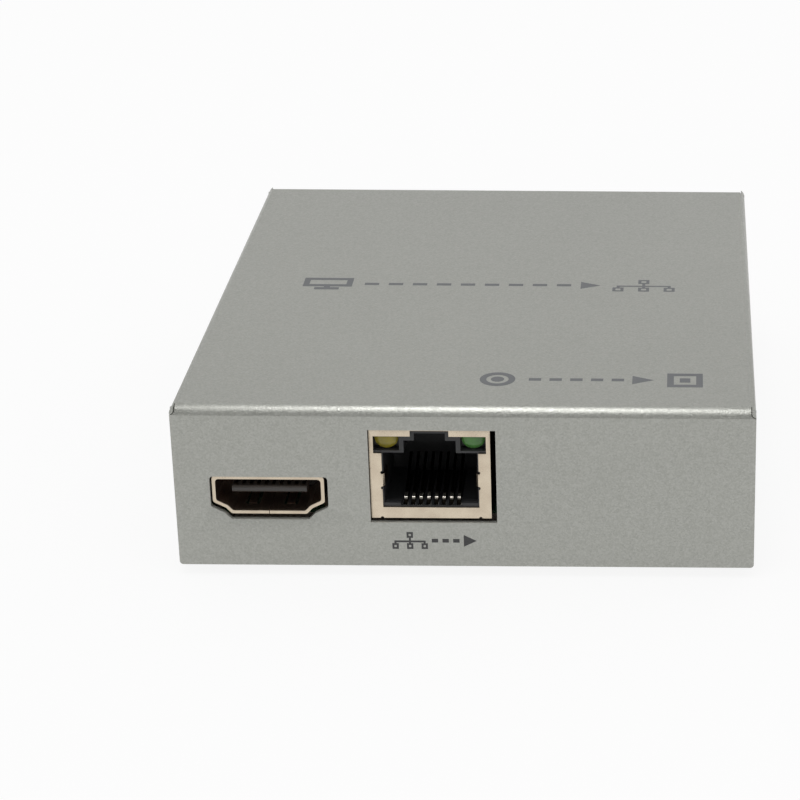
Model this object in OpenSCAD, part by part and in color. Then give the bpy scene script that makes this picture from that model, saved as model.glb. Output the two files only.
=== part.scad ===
// HDMI to network extender: a board with its sockets in a folded sheet-steel case.
// Millimetres. The origin is the middle of the footprint, on the surface that the feet stand on.
// X runs to the right, Y from the front panel to the back and Z up.

/* [Case] */
// Width of the case
case_w = 77; // [64:0.5:110]
// Depth of the case, front to back
case_d = 91; // [75.5:0.5:130]
// Free height between the network socket and the cover's top
headroom = 2.5; // [0.5:0.1:8]
// Thickness of the cover's sheet
sheet_t = 0.8; // [0.5:0.05:1.2]
// Inside radius of the side bends
bend_in_r = 0.2; // [0.1:0.02:0.4]
// Inside radius of the bends between the cover's top and its front and back
end_bend_in_r = 0.6; // [0.3:0.02:1]
// Open seam between neighbouring flanges of the cover
seam_gap = 0.1; // [0.05:0.01:0.2]
// Radius of the bend's end at each top corner
relief_r = 0.55; // [0.4:0.01:0.7]
// Width of the relief slit round the bend's end
relief_gap = 0.15; // [0.1:0.01:0.25]
// Rounding of the front and back flanges' lower corners
flange_corner_r = 0.5; // [0.2:0.05:0.9]

/* [Base plate] */
// Thickness of the base plate
plate_t = 1; // [0.7:0.05:1.5]
// Gap between the base plate and the cover's side and front flanges
plate_gap = 0.15; // [0.1:0.01:0.25]
// Free length behind the base plate and the rear sockets, for hooking in the front sockets
slide_play = 0.5; // [0.42:0.01:0.8]
// Length of each upturned side tab
tab_l = 10; // [6:0.5:13]
// Distance from the case's ends to the tabs' middles
tab_inset = 32; // [26:0.5:36]
// Metal left above each tab's screw hole
tab_margin = 1.5; // [0.8:0.1:2]
// Width of the bend relief beside each tab
tab_relief = 0.8; // [0.4:0.1:1.2]

/* [Feet] */
// Diameter of a rubber foot
foot_d = 8; // [5:0.5:12]
// Height of a rubber foot
foot_h = 1.5; // [0.8:0.1:4]
// Distance from the case's edges to a foot's middle
foot_inset = 9; // [7:0.5:14]
// How much narrower a foot is at the floor, on the radius
foot_taper = 0.4; // [0.2:0.1:1]

/* [Fasteners] */
// Head diameter of the case screws
case_screw_head_d = 4.1; // [3.4:0.1:4.9]
// Shank diameter of the case screws
case_screw_d = 2.5; // [2:0.1:3]
// Height of the case screws' cone
case_screw_cone = 0.75; // [0.5:0.05:0.9]
// Length of the case screws
case_screw_l = 3; // [2.4:0.1:3.6]
// Shank diameter of the board screws
board_screw_d = 2.9; // [2.4:0.1:3.5]
// Head diameter of the board screws
board_screw_head_d = 5.5; // [4.5:0.1:6.6]
// Head height of the board screws
board_screw_head_h = 1.8; // [1.2:0.1:2.4]
// Length of the board screws below the head
board_screw_l = 4.6; // [3.8:0.1:5.5]
// Width of a screw's driver cross
cross_w = 0.6; // [0.4:0.1:0.8]
// Depth of a screw's driver cross
cross_deep = 0.5; // [0.3:0.1:0.6]
// Width of a spacer across its flats
spacer_w = 5; // [4.2:0.1:6]
// Height of a spacer between the base plate and the board
spacer_h = 4.2; // [3.4:0.1:6]
// Distance from the case's sides to the spacers
spacer_inset_x = 6.5; // [5.4:0.1:8]
// Distance from the case's front and back to the spacers
spacer_inset_y = 20.5; // [17:0.5:24]
// Running clearance of a shank in its hole, on the radius
shank_clear = 0.05; // [0.02:0.01:0.1]

/* [Board] */
// Thickness of the board
board_t = 1.6; // [1:0.1:2]
// Gap between the board's edges and the cover
board_gap = 1.4; // [1.16:0.05:2]
// Rounding of the board's corners
board_corner_r = 1; // [0.5:0.1:2]
// Clearance of a lead in its hole
hole_clear = 0.15; // [0.08:0.01:0.25]

/* [Front sockets] */
// Distance of the sockets' faces behind the front panel's face
socket_recess = 0.4; // [0.3:0.01:0.5]
// Clearance of close-fitting pieces in the sockets
fit_gap = 0.04; // [0.02:0.01:0.08]

/* [HDMI socket] */
// Middle of the HDMI socket from the case's left side
hdmi_x = 12.35; // [11:0.05:14]
// Width of the HDMI opening
hdmi_w = 14; // [12:0.1:16]
// Height of the HDMI opening
hdmi_h = 4.55; // [4:0.05:5.5]
// Width of the HDMI opening's floor
hdmi_floor_w = 9.6; // [8:0.1:10.4]
// Width of the HDMI opening at the middle of its slanted shoulders
hdmi_shoulder_w = 11; // [10.6:0.1:12.6]
// Height of the middle of the slanted shoulders above the floor
hdmi_shoulder_h = 0.75; // [0.6:0.05:1]
// Height at which the HDMI opening's upright sides start
hdmi_side_h = 1.5; // [1.2:0.05:1.9]
// Wall of the HDMI shell, with its rolled edge
hdmi_wall = 0.45; // [0.35:0.05:0.6]
// Depth of the HDMI shell
hdmi_d = 12; // [10:0.1:14.5]
// Depth of the HDMI opening
hdmi_cavity_d = 8; // [6.6:0.1:9.6]
// Height of the HDMI shell above the board
hdmi_lift = 0.6; // [0.3:0.05:1]
// Gap between the HDMI shell and its cut-out in the front panel
hdmi_cut_gap = 0.37; // [0.25:0.01:0.45]
// Width of the tongue
tongue_w = 9.95; // [8.2:0.05:11.9]
// Thickness of the tongue
tongue_t = 0.9; // [0.7:0.05:1.1]
// Height of the tongue's middle above the opening's floor
tongue_z = 2.65; // [2.3:0.05:3]
// Distance of the tongue's tip behind the shell's edge
tongue_recess = 1; // [0.5:0.1:1.5]
// Spacing of the contacts on one side of the tongue
hdmi_pitch = 1; // [0.83:0.01:1]
// Width of an HDMI contact
hdmi_contact_w = 0.4; // [0.3:0.01:0.46]
// Thickness of an HDMI contact
hdmi_contact_t = 0.12; // [0.08:0.01:0.16]
// Length of a spring finger in the shell's floor and roof
finger_l = 5; // [4:0.1:6]
// Width of a spring finger
finger_w = 1.1; // [0.8:0.05:1.4]
// Thickness of a spring finger
finger_t = 0.2; // [0.15:0.01:0.3]
// Distance of the fingers from the socket's middle
finger_x = 2.55; // [2.1:0.05:3]
// Gap round a spring finger
finger_gap = 0.4; // [0.25:0.05:0.55]
// Length of each of the shell's board legs
hdmi_leg_l = 1.8; // [1.4:0.1:2.2]

/* [Network socket] */
// Middle of the network socket from the case's left side
rj_x = 33.95; // [31:0.05:40]
// Width of the network socket
rj_w = 16; // [15.5:0.1:19]
// Height of the network socket's shield
rj_h = 12.8; // [12.6:0.1:15.5]
// Depth of the network socket
rj_d = 18.5; // [17:0.1:22.5]
// Thickness of the shield's sheet
rj_sheet_t = 0.25; // [0.2:0.01:0.3]
// Height of the shield above the board
rj_lift = 0.1; // [0.05:0.01:0.2]
// Gap left of the network socket in the front panel
rj_cut_left = 0.1; // [0.05:0.01:0.2]
// Gap right of the network socket in the front panel
rj_cut_right = 0.75; // [0.5:0.05:1]
// Gap below the network socket in the front panel
rj_cut_below = 0.5; // [0.3:0.05:0.7]
// Gap above the network socket in the front panel
rj_cut_above = 0.1; // [0.05:0.01:0.3]
// Width of the shield's main opening
rj_open_w = 12.8; // [12.6:0.1:14.4]
// Height of the shield's rim below the main opening
rj_rim_h = 1.55; // [1.3:0.05:1.8]
// Height of the plug cavity
rj_cavity_h = 7.7; // [7:0.1:7.9]
// Width of the plug cavity
rj_cavity_w = 12.5; // [11.8:0.1:12.6]
// Depth of the plug cavity
rj_cavity_d = 12.5; // [11:0.1:13.6]
// Width of the latch channel's lower step
latch_w = 6.9; // [6:0.1:7.6]
// Height of the latch channel's lower step
latch_h = 1.75; // [1.4:0.05:1.9]
// Width of the latch channel's upper step
latch_top_w = 4.1; // [3.5:0.1:4.6]
// Height of the latch channel's upper step
latch_top_h = 1.05; // [0.8:0.05:1.15]
// Depth of the latch channel
latch_d = 8; // [6.6:0.1:10]
// Width of the slot in the shield above the latch channel
latch_slot_w = 5.1; // [4.7:0.1:6]
// Width of an indicator window
window_w = 3.4; // [3.2:0.1:3.5]
// Height of an indicator window
window_h = 2.45; // [2.2:0.05:2.6]
// Distance of an indicator's middle from the socket's middle
window_x = 5.75; // [5.7:0.05:5.85]
// Radius of an indicator's lens
lens_r = 1.6; // [1.4:0.01:1.65]
// Length of an indicator, with its dome
lens_l = 5.6; // [4.7:0.1:6.6]
// Number of contact wires
wire_count = 8; // [4:1:8]
// Spacing of the contact wires
wire_pitch = 1.016; // [0.85:0.001:1.016]
// Width of a contact wire
wire_w = 0.4; // [0.3:0.01:0.48]
// Thickness of a contact wire
wire_t = 0.3; // [0.25:0.01:0.36]
// Rise of the contact wires' free ends above their feet
wire_rise = 3.85; // [3.2:0.05:3.9]
// Rise of the contact wires' front bend above their feet
wire_bend_h = 1; // [0.8:0.05:1.2]
// Radius of the half-round notches beside the spring tabs
notch_r = 0.22; // [0.15:0.01:0.3]
// Height of a spring tab at the opening's side
side_tab_h = 1.8; // [1.4:0.1:2]
// Length of a spring tab into the cavity
side_tab_l = 3; // [2.4:0.1:3.6]
// Radius of the housing's locating pegs
peg_r = 1.5; // [1.2:0.05:1.8]

/* [Board parts] */
// Side of the processor
processor_w = 15; // [12:0.5:18]
// Thickness of the processor
processor_h = 1.2; // [1:0.1:2]
// Thickness of the thermal pad
pad_t = 0.5; // [0.3:0.1:1]
// Side of the heat sink
sink_w = 24; // [19:0.5:28.6]
// Height of the heat sink
sink_h = 8; // [6:0.5:10]
// Number of the heat sink's fins
sink_fins = 7; // [5:1:9]
// Thickness of a fin
fin_t = 1; // [0.6:0.1:1.4]
// Thickness of the heat sink's base
sink_base = 2; // [1.5:0.1:3]
// Body side of the video receiver chip
receiver_w = 10; // [8:0.5:12]
// Body side of the network driver chip
phy_w = 7; // [5.5:0.5:8.5]
// Length of a memory chip
memory_l = 11; // [9:0.5:12.6]
// Width of a memory chip
memory_w = 9; // [7:0.5:10.5]
// Thickness of the chips
chip_h = 1.3; // [1:0.1:1.6]
// Length of the network transformer
transformer_l = 12.7; // [10:0.1:15.2]
// Width of the network transformer
transformer_w = 7.5; // [6:0.1:9]
// Height of the network transformer
transformer_h = 5.8; // [4.5:0.1:7]
// Gap between the network socket and its transformer
transformer_gap = 4; // [3:0.1:5]
// Side of a power inductor
inductor_w = 6; // [5:0.1:7.2]
// Height of a power inductor
inductor_h = 3; // [2:0.1:4]
// Diameter of an electrolytic capacitor
can_d = 6.3; // [5:0.1:7.5]
// Height of an electrolytic capacitor
can_h = 7.7; // [5.5:0.1:9.5]
// Length of a crystal
crystal_l = 5; // [4:0.1:6]
// Width of a crystal
crystal_w = 3.2; // [2.5:0.1:3.8]
// Height of a crystal
crystal_h = 1.1; // [0.8:0.1:1.3]
// Length of a small chip part
chip_part_l = 1.6; // [1.3:0.1:1.9]
// Width of a small chip part
chip_part_w = 0.8; // [0.6:0.05:1]
// Thickness of a chip's lead
lead_t = 0.2; // [0.15:0.01:0.25]
// Reach of a chip's lead beyond its body
lead_reach = 1; // [0.8:0.1:1.2]

/* [Power jack] */
// Distance from the case's right side to the power jack's middle
dc_inset = 15.4; // [14.6:0.1:18]
// Width of the power jack
dc_w = 9; // [7.6:0.1:10.7]
// Depth of the power jack
dc_d = 13.5; // [12:0.1:15.5]
// Height of the power jack
dc_h = 11; // [9.8:0.1:13]
// Radius of the power jack's mouth
dc_mouth_r = 3.15; // [2.9:0.05:3.5]
// Depth of the power jack's mouth
dc_mouth_d = 9.5; // [8:0.1:11]
// Radius of the power jack's centre pin
dc_pin_r = 1; // [0.8:0.05:1.2]
// Radius of the panel's hole for the power plug
dc_hole_r = 3.9; // [3.6:0.05:4.4]

/* [Infrared jack] */
// Width of the infrared jack
ir_w = 6.4; // [5.9:0.1:7.6]
// Depth of the infrared jack behind its nose
ir_d = 11.5; // [10.5:0.1:13.6]
// Height of the infrared jack
ir_h = 5.6; // [5.3:0.1:6.6]
// Radius of the infrared jack's bore
ir_bore_r = 1.8; // [1.6:0.05:1.95]
// Radius of the infrared jack's nose
ir_nose_r = 2.6; // [2.4:0.05:3.1]
// Length of the infrared jack's nose
ir_nose_l = 1.2; // [0.9:0.1:1.5]
// Radius of the panel's hole for the infrared plug
ir_hole_r = 2.9; // [2.7:0.05:3.4]

/* [Reset switch] */
// Width and height of the reset switch
reset_w = 6; // [5:0.1:7.1]
// Depth of the reset switch's body
reset_d = 3.4; // [3.2:0.1:4]
// Radius of the reset button's stem
reset_stem_r = 1.6; // [1.4:0.05:1.9]
// Length of the stem outside the switch
reset_stem_l = 1.5; // [1.2:0.1:1.8]
// Running clearance round the reset button
reset_clear = 0.1; // [0.06:0.01:0.12]
// Travel of the reset button
reset_travel = 0.25; // [0.2:0.01:0.3]
// Radius of the panel's pin-hole
pin_hole_r = 0.9; // [0.7:0.05:1.2]

/* [Indicator lights] */
// Radius of an indicator light
light_r = 1.5; // [1.2:0.05:1.8]
// Length of an indicator light
light_l = 5.3; // [4.8:0.1:6.3]
// Height of an indicator light's axis above the board
light_z = 4; // [3.3:0.1:4.8]
// Radius of the panel's hole at an indicator light
light_hole_r = 1.7; // [1.5:0.05:2]

/* [Hidden] */

// Every cutting solid runs past the surface that it opens by this much
overrun = 0.5;
round_fn = 48;
fine_fn = 24;
hex_fn = 6;
fillet_steps = 4;

// Levels above the case's lower edge
board_z = plate_t + spacer_h;
board_top = board_z + board_t;
rj_z = board_top + rj_lift;
case_h = rj_z + rj_h + headroom + sheet_t;
hdmi_z = board_top + hdmi_lift + hdmi_wall;
screw_z = plate_t + spacer_h / 2;
leg_drop = board_t + 0.4 * spacer_h;

end_bend_out_r = sheet_t + end_bend_in_r;
cone_slope = (case_screw_head_d - case_screw_d) / 2 / case_screw_cone;
relief_z = case_h - relief_r;
rear_in_y = case_d - sheet_t;
rear_part_y = rear_in_y - slide_play;

// The board's corner nearest the front left, and its sides
board_x = sheet_t + board_gap;
board_w = case_w - 2 * board_x;
board_d = case_d - 2 * board_x;

// Places of the rear parts, as shares of the case's width from the left side
ir_x_share = 0.62;
reset_x_share = 0.46;
light_x_shares = [0.33, 0.25];

dc_x = case_w - dc_inset;
ir_x = ir_x_share * case_w;
reset_x = reset_x_share * case_w;
dc_z = board_top + 0.59 * dc_h;
ir_z = board_top + ir_h / 2;
reset_z = board_top + reset_w / 2;
light_axis_z = board_top + light_z;

// The HDMI opening's outline, from the middle of its floor
hdmi_outline = [
    [-hdmi_floor_w / 2, 0], [hdmi_floor_w / 2, 0],
    [hdmi_shoulder_w / 2, hdmi_shoulder_h], [hdmi_w / 2, hdmi_side_h],
    [hdmi_w / 2, hdmi_h], [-hdmi_w / 2, hdmi_h],
    [-hdmi_w / 2, hdmi_side_h], [-hdmi_shoulder_w / 2, hdmi_shoulder_h]
];
hdmi_corner_r = hdmi_wall;
hdmi_back_y = socket_recess + hdmi_d;
hdmi_block_y = socket_recess + hdmi_cavity_d;
hdmi_foot_d = 2 * hdmi_wall;
// The cut-out hangs lower and further right than the socket
hdmi_cut_shift = [0.4, -0.75] * hdmi_cut_gap;
tongue_y = socket_recess + tongue_recess;

// Places in the network socket; heights are above the shield's lower edge
rj_left = rj_x - rj_w / 2;
rj_back_y = socket_recess + rj_d;
rj_floor = rj_rim_h + wire_t / 2;
rj_roof = rj_floor + rj_cavity_h;
window_z = rj_floor + rj_cavity_h + wire_t;
window_top = window_z - wire_t + window_h;
lens_z = window_top - lens_r / 4;
lens_y = socket_recess + rj_sheet_t + 5 * fit_gap;
housing_in = rj_sheet_t + fit_gap;
housing_y = socket_recess + housing_in;
wire_z = rj_rim_h - 5 / 3 * wire_t;
wire_front_y = housing_y + 5 * wire_t;
wire_rise_y = 8.8 / 12.5 * rj_cavity_d;
tail_y = housing_y + rj_cavity_d + 6 * wire_w;
led_lead_y = rj_back_y - housing_in - 2 * wire_w;
led_lead_x = lens_r / 3;
side_tab_z = 0.43 * rj_h;
foot_notch_x = 0.41 * rj_w;

dc_terminal = [0.25, 0.04] * dc_w;

// Gaps between the board's parts, and the lengths of the rows of small ones
chip_gap = 1;
phy_gap = 4;
receiver_gap = 16.7;
memory_gap = 4.6;
coil_gap = 5;
front_row_y = 8;
row_count = 5;
row_step = 1.9 * chip_part_w;
row_l = (row_count - 1) * row_step + chip_part_w;
flash_size = [3.2, 4] * chip_h;
converter_size = [2.4, 3] * chip_h;

// A place in the case from its shares of the board's width and depth
function board_place(share) = [board_x + share[0] * board_w, board_x + share[1] * board_d];

// Places of the board's parts: what serves a socket stays by it, and the rest goes by the board's size
transformer_place = [rj_x, rj_back_y + transformer_gap + transformer_w / 2];
phy_place = transformer_place + [transformer_l / 2 + phy_gap + lead_reach + phy_w / 2, 0];
flash_place = phy_place + [phy_w / 2 + 2 * lead_reach + chip_gap + flash_size[0] / 2, 0];
receiver_place = [hdmi_x + 0.16 * hdmi_w, hdmi_back_y + receiver_gap + lead_reach + receiver_w / 2];
receiver_back_y = receiver_place[1] + receiver_w / 2 + lead_reach + chip_gap;
surge_place = [hdmi_x - chip_part_l / 2, hdmi_back_y + hdmi_foot_d + 2 * chip_gap];
crystal_places = [
    phy_place + [0, phy_w / 2 + lead_reach + chip_gap + crystal_w / 2],
    receiver_place + [receiver_w / 2 + lead_reach + chip_gap + crystal_l / 2, 0]];

// The processor stands between the transformer and the power jack
processor_share = 0.434;
processor_front_y = transformer_place[1] + transformer_w / 2 + lead_reach;
processor_back_y = rear_part_y - dc_d - dc_terminal[1];
processor_place = [case_w / 2, processor_front_y + processor_share * (processor_back_y - processor_front_y)];
memory_x_share = 0.82;
memory_x = board_x + memory_x_share * board_w;
memory_places = [for (side = [-1, 1]) [memory_x, processor_place[1] + side * (memory_gap + memory_l) / 2]];

coil_shares = [[0.2, 0.64], [0.2, 0.76]];
converter_shares = [[0.33, 0.78], [0.08, 0.64]];
front_coil = [rj_x + rj_w / 2 + coil_gap + inductor_w / 2, front_row_y];
front_can = front_coil + [inductor_w / 2 + 2 * chip_gap + can_d / 2, 0];
can_places = [front_can, [dc_x + dc_w / 2 + chip_gap + can_d / 2, rear_part_y - 2 * chip_gap - can_d / 2]];
coil_places = [front_coil, for (share = coil_shares) board_place(share)];
converter_places = [
    front_can + [0, can_d / 2 + chip_gap + converter_size[1] / 2],
    for (share = converter_shares) board_place(share)];

// The front left corner of each row of small parts
capacitor_rows = [
    [receiver_place[0] - chip_gap - row_l, receiver_back_y],
    [memory_x - row_l / 2, processor_place[1] - chip_part_l / 2],
    phy_place - [row_l / 2, phy_w / 2 + lead_reach + chip_gap + chip_part_l],
    processor_place - [row_l / 2, processor_w / 2 + chip_gap + chip_part_l]];
resistor_rows = [
    [receiver_place[0] + chip_gap, receiver_back_y],
    receiver_place - [row_l / 2, receiver_w / 2 + lead_reach + chip_gap + chip_part_l],
    front_coil + [-row_l / 2, inductor_w / 2 + chip_gap],
    processor_place + [-row_l / 2, processor_w / 2 + chip_gap]];

plating = [0.79, 0.74, 0.66];
steel_paint = [0.63, 0.63, 0.62];
black_plastic = [0.08, 0.08, 0.08];
gold = [0.83, 0.69, 0.35];
tin = [0.8, 0.8, 0.78];
chip_black = [0.13, 0.13, 0.14];

// Outlines

function unit(a) = a / norm(a);
function left_of(a) = [-a[1], a[0]];
function turned(a, angle) = [a[0] * cos(angle) - a[1] * sin(angle), a[0] * sin(angle) + a[1] * cos(angle)];
function turn_between(u, v) = atan2(u[0] * v[1] - u[1] * v[0], u * v);

// Points of the arc that rounds the corner at b, on the way from a to c
function corner_arc(a, b, c, r, steps) =
    let (u = unit(b - a), turn = turn_between(u, unit(c - b)), side = sign(turn),
         start = b - u * r * tan(abs(turn) / 2), spoke = -side * r * left_of(u))
    [for (k = [0:steps]) start - spoke + turned(spoke, turn * k / steps)];

// An outline with all its corners rounded
function rounded(points, r, steps = fillet_steps) =
    let (n = len(points))
    [for (i = [0:n - 1]) each corner_arc(points[(i + n - 1) % n], points[i], points[(i + 1) % n], r, steps)];

// An outline, anticlockwise, moved outward by d
function outset(points, d) =
    let (n = len(points))
    [for (i = [0:n - 1])
        let (u = unit(points[i] - points[(i + n - 1) % n]), v = unit(points[(i + 1) % n] - points[i]),
             a = -left_of(u), b = -left_of(v))
        points[i] + d * (a + b) / (1 + a * b)];

// A strip of thickness t along a path, with round bends
module strip(path, t) {
    last = len(path) - 1;
    for (i = [1:last]) {
        run = path[i] - path[i - 1];
        translate(path[i - 1]) rotate(atan2(run[1], run[0])) translate([0, -t / 2]) square([norm(run), t]);
    }
    for (i = [1:last - 1]) translate(path[i]) circle(d = t, $fn = fine_fn);
}

// Placing

// x from the case's left side, y from the front panel's face, z from the case's lower edge
module in_case() {
    translate([-case_w / 2, -case_d / 2, foot_h]) children();
}

// Raises an outline drawn in x and z into a solid that runs from y to y + length
module run_back(y, length) {
    translate([0, y + length, 0]) rotate([90, 0, 0]) linear_extrude(length) children();
}

// Raises an outline drawn in y and z into a solid that runs from x to x + length
module run_right(x, length) {
    translate([x, 0, 0]) rotate([90, 0, 90]) linear_extrude(length) children();
}

// A rod along Y from y to y + length
module rod(x, z, r, y, length) {
    translate([x, y, z]) rotate([-90, 0, 0]) cylinder(r = r, h = length, $fn = round_fn);
}

// Block from its lowest corner
module block(corner, size) {
    translate(corner) cube(size);
}

module on_board(place) {
    translate([place[0], place[1], board_top]) children();
}

module at_spacers() {
    for (x = [spacer_inset_x, case_w - spacer_inset_x], y = [spacer_inset_y, case_d - spacer_inset_y])
        translate([x, y, 0]) children();
}

// Each case screw's axis: the head's face at z = 0, and the shank toward -z
module at_case_screws() {
    for (y = [tab_inset, case_d - tab_inset]) {
        translate([0, y, screw_z]) rotate([0, -90, 0]) children();
        translate([case_w, y, screw_z]) rotate([0, 90, 0]) children();
    }
}

// Case

// Inverted U of the given width: two walls and the top between bends of the given inside radius
module bent_u(width, in_r) {
    out_r = sheet_t + in_r;
    difference() {
        union() {
            square([width, case_h - out_r]);
            translate([out_r, 0]) square([width - 2 * out_r, case_h]);
            for (x = [out_r, width - out_r]) translate([x, case_h - out_r]) circle(out_r, $fn = round_fn);
        }
        translate([sheet_t, -overrun]) square([width - 2 * sheet_t, case_h - out_r + overrun]);
        translate([out_r, -overrun]) square([width - 2 * out_r, case_h - sheet_t + overrun]);
        for (x = [out_r, width - out_r]) translate([x, case_h - out_r]) circle(in_r, $fn = round_fn);
    }
}

// The side bend's end at the two upper corners, seen from the front; grow widens it to the slit's outline
module bend_end(grow) {
    for (x = [0, case_w]) {
        translate([x, relief_z]) circle(relief_r + grow, $fn = round_fn);
        translate([x - relief_r - grow, relief_z]) square([2 * (relief_r + grow), relief_r + overrun]);
    }
}

// The front panel or, turned round, the back one, up to where its bend meets the top
module end_flange() {
    difference() {
        run_right(0, case_w) intersection() {
            bent_u(case_d, end_bend_in_r);
            square([end_bend_out_r, case_h]);
        }
        run_back(-overrun, end_bend_out_r + overrun) bend_end(relief_gap);
        for (side = [0, 1]) translate([side * case_w, 0, 0]) mirror([side, 0, 0])
            run_back(-overrun, end_bend_out_r + 2 * overrun) difference() {
                translate([-overrun, -overrun]) square(flange_corner_r + overrun);
                translate([flange_corner_r, flange_corner_r]) circle(flange_corner_r, $fn = round_fn);
            }
    }
    run_back(0, end_bend_out_r) intersection() {
        bent_u(case_w, bend_in_r);
        bend_end(0);
    }
    for (x = [0, case_w - sheet_t])
        block([x, sheet_t + seam_gap, 0], [sheet_t, end_bend_out_r - sheet_t - seam_gap, relief_z]);
}

module hdmi_cut_out() {
    translate([hdmi_x + hdmi_cut_shift[0], 0, hdmi_z + hdmi_cut_shift[1]])
        run_back(-overrun, sheet_t + 2 * overrun)
            polygon(rounded(outset(hdmi_outline, hdmi_wall + hdmi_cut_gap), hdmi_corner_r));
}

module rj_cut_out() {
    block([rj_left - rj_cut_left, -overrun, rj_z - rj_cut_below],
          [rj_w + rj_cut_left + rj_cut_right, sheet_t + 2 * overrun, rj_h + rj_cut_below + rj_cut_above]);
}

module rear_hole(x, z, r) {
    rod(x, z, r, rear_in_y - overrun, sheet_t + 2 * overrun);
}

module top_cover() {
    color(steel_paint) in_case() difference() {
        for (end = [0, 1]) translate([0, end * case_d, 0]) mirror([0, end, 0]) {
            run_back(end_bend_out_r, case_d / 2 - end_bend_out_r + overrun) bent_u(case_w, bend_in_r);
            end_flange();
        }
        hdmi_cut_out();
        rj_cut_out();
        rear_hole(dc_x, dc_z, dc_hole_r);
        rear_hole(ir_x, ir_z, ir_hole_r);
        rear_hole(reset_x, reset_z, pin_hole_r);
        for (share = light_x_shares) rear_hole(share * case_w, light_axis_z, light_hole_r);
        at_case_screws() {
            translate([0, 0, -case_screw_cone])
                cylinder(r1 = case_screw_d / 2 + shank_clear, h = case_screw_cone + overrun,
                         r2 = case_screw_head_d / 2 + shank_clear + cone_slope * overrun, $fn = round_fn);
            translate([0, 0, -sheet_t - overrun])
                cylinder(d = case_screw_d + 2 * shank_clear, h = sheet_t + overrun, $fn = round_fn);
        }
    }
}

module bottom_plate() {
    edge = sheet_t + plate_gap;
    tab_h = screw_z + case_screw_d / 2 + tab_margin;
    tab_bend_r = plate_t + bend_in_r;
    color(steel_paint) in_case() difference() {
        union() {
            block([edge + tab_bend_r, edge, 0],
                  [case_w - 2 * (edge + tab_bend_r), case_d - edge - sheet_t - slide_play, plate_t]);
            for (side = [0, 1]) translate([side * case_w, 0, 0]) mirror([side, 0, 0]) {
                difference() {
                    block([edge, edge, 0], [tab_bend_r, case_d - edge - sheet_t - slide_play, plate_t]);
                    for (y = [tab_inset, case_d - tab_inset])
                        block([edge - overrun, y - tab_l / 2 - tab_relief, -overrun],
                              [tab_bend_r + overrun, tab_l + 2 * tab_relief, plate_t + 2 * overrun]);
                }
                for (y = [tab_inset, case_d - tab_inset]) run_back(y - tab_l / 2, tab_l) difference() {
                    union() {
                        translate([edge, tab_bend_r]) square([plate_t, tab_h - tab_bend_r]);
                        intersection() {
                            translate([edge + tab_bend_r, tab_bend_r]) circle(tab_bend_r, $fn = round_fn);
                            translate([edge, 0]) square(tab_bend_r);
                        }
                    }
                    translate([edge + tab_bend_r, tab_bend_r]) circle(bend_in_r, $fn = round_fn);
                }
            }
        }
        at_case_screws() translate([0, 0, -case_screw_l - overrun])
            cylinder(d = case_screw_d + 2 * shank_clear, h = case_screw_l, $fn = round_fn);
        at_spacers() translate([0, 0, -overrun])
            cylinder(d = spacer_w - 2 * fit_gap, h = plate_t + 2 * overrun, $fn = round_fn);
    }
}

// Cross for a driver, cut down into a head whose face is at z = 0
module driver_cross(size) {
    for (turn = [0, 90]) rotate(turn)
        block([-size / 2, -cross_w / 2, -cross_deep], [size, cross_w, cross_deep + overrun]);
}

module case_screws() {
    color(tin) in_case() at_case_screws() difference() {
        union() {
            translate([0, 0, -case_screw_cone])
                cylinder(d1 = case_screw_d, d2 = case_screw_head_d, h = case_screw_cone, $fn = round_fn);
            translate([0, 0, -case_screw_l])
                cylinder(d = case_screw_d, h = case_screw_l - case_screw_cone, $fn = round_fn);
        }
        driver_cross(case_screw_d);
    }
}

module rubber_feet() {
    color([0.1, 0.1, 0.1])
        for (x = [-1, 1], y = [-1, 1])
            translate([x * (case_w / 2 - foot_inset), y * (case_d / 2 - foot_inset), 0])
                cylinder(r1 = foot_d / 2 - foot_taper, r2 = foot_d / 2, h = foot_h, $fn = round_fn);
}

module pcb_standoffs() {
    color(gold) in_case() at_spacers() difference() {
        union() {
            translate([0, 0, plate_t]) cylinder(d = spacer_w / cos(180 / hex_fn), h = spacer_h, $fn = hex_fn);
            cylinder(d = spacer_w - 4 * fit_gap, h = plate_t, $fn = round_fn);
        }
        translate([0, 0, -overrun])
            cylinder(d = board_screw_d + 2 * shank_clear, h = board_z + 2 * overrun, $fn = round_fn);
    }
}

module pcb_screws() {
    color(tin) in_case() at_spacers() translate([0, 0, board_top]) difference() {
        union() {
            cylinder(d = board_screw_head_d, h = board_screw_head_h, $fn = round_fn);
            translate([0, 0, -board_screw_l]) cylinder(d = board_screw_d, h = board_screw_l, $fn = round_fn);
        }
        translate([0, 0, board_screw_head_h]) driver_cross(board_screw_d);
    }
}

// Board

// A lead's hole through the board
module lead_hole(x, y, d) {
    translate([x, y, board_z - overrun])
        cylinder(d = d + 2 * hole_clear, h = board_t + 2 * overrun, $fn = fine_fn);
}

// A flat leg's slot through the board
module leg_slot(x, y, size) {
    block([x - size[0] / 2 - hole_clear, y - size[1] / 2 - hole_clear, board_z - overrun],
          [size[0] + 2 * hole_clear, size[1] + 2 * hole_clear, board_t + 2 * overrun]);
}

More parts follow.
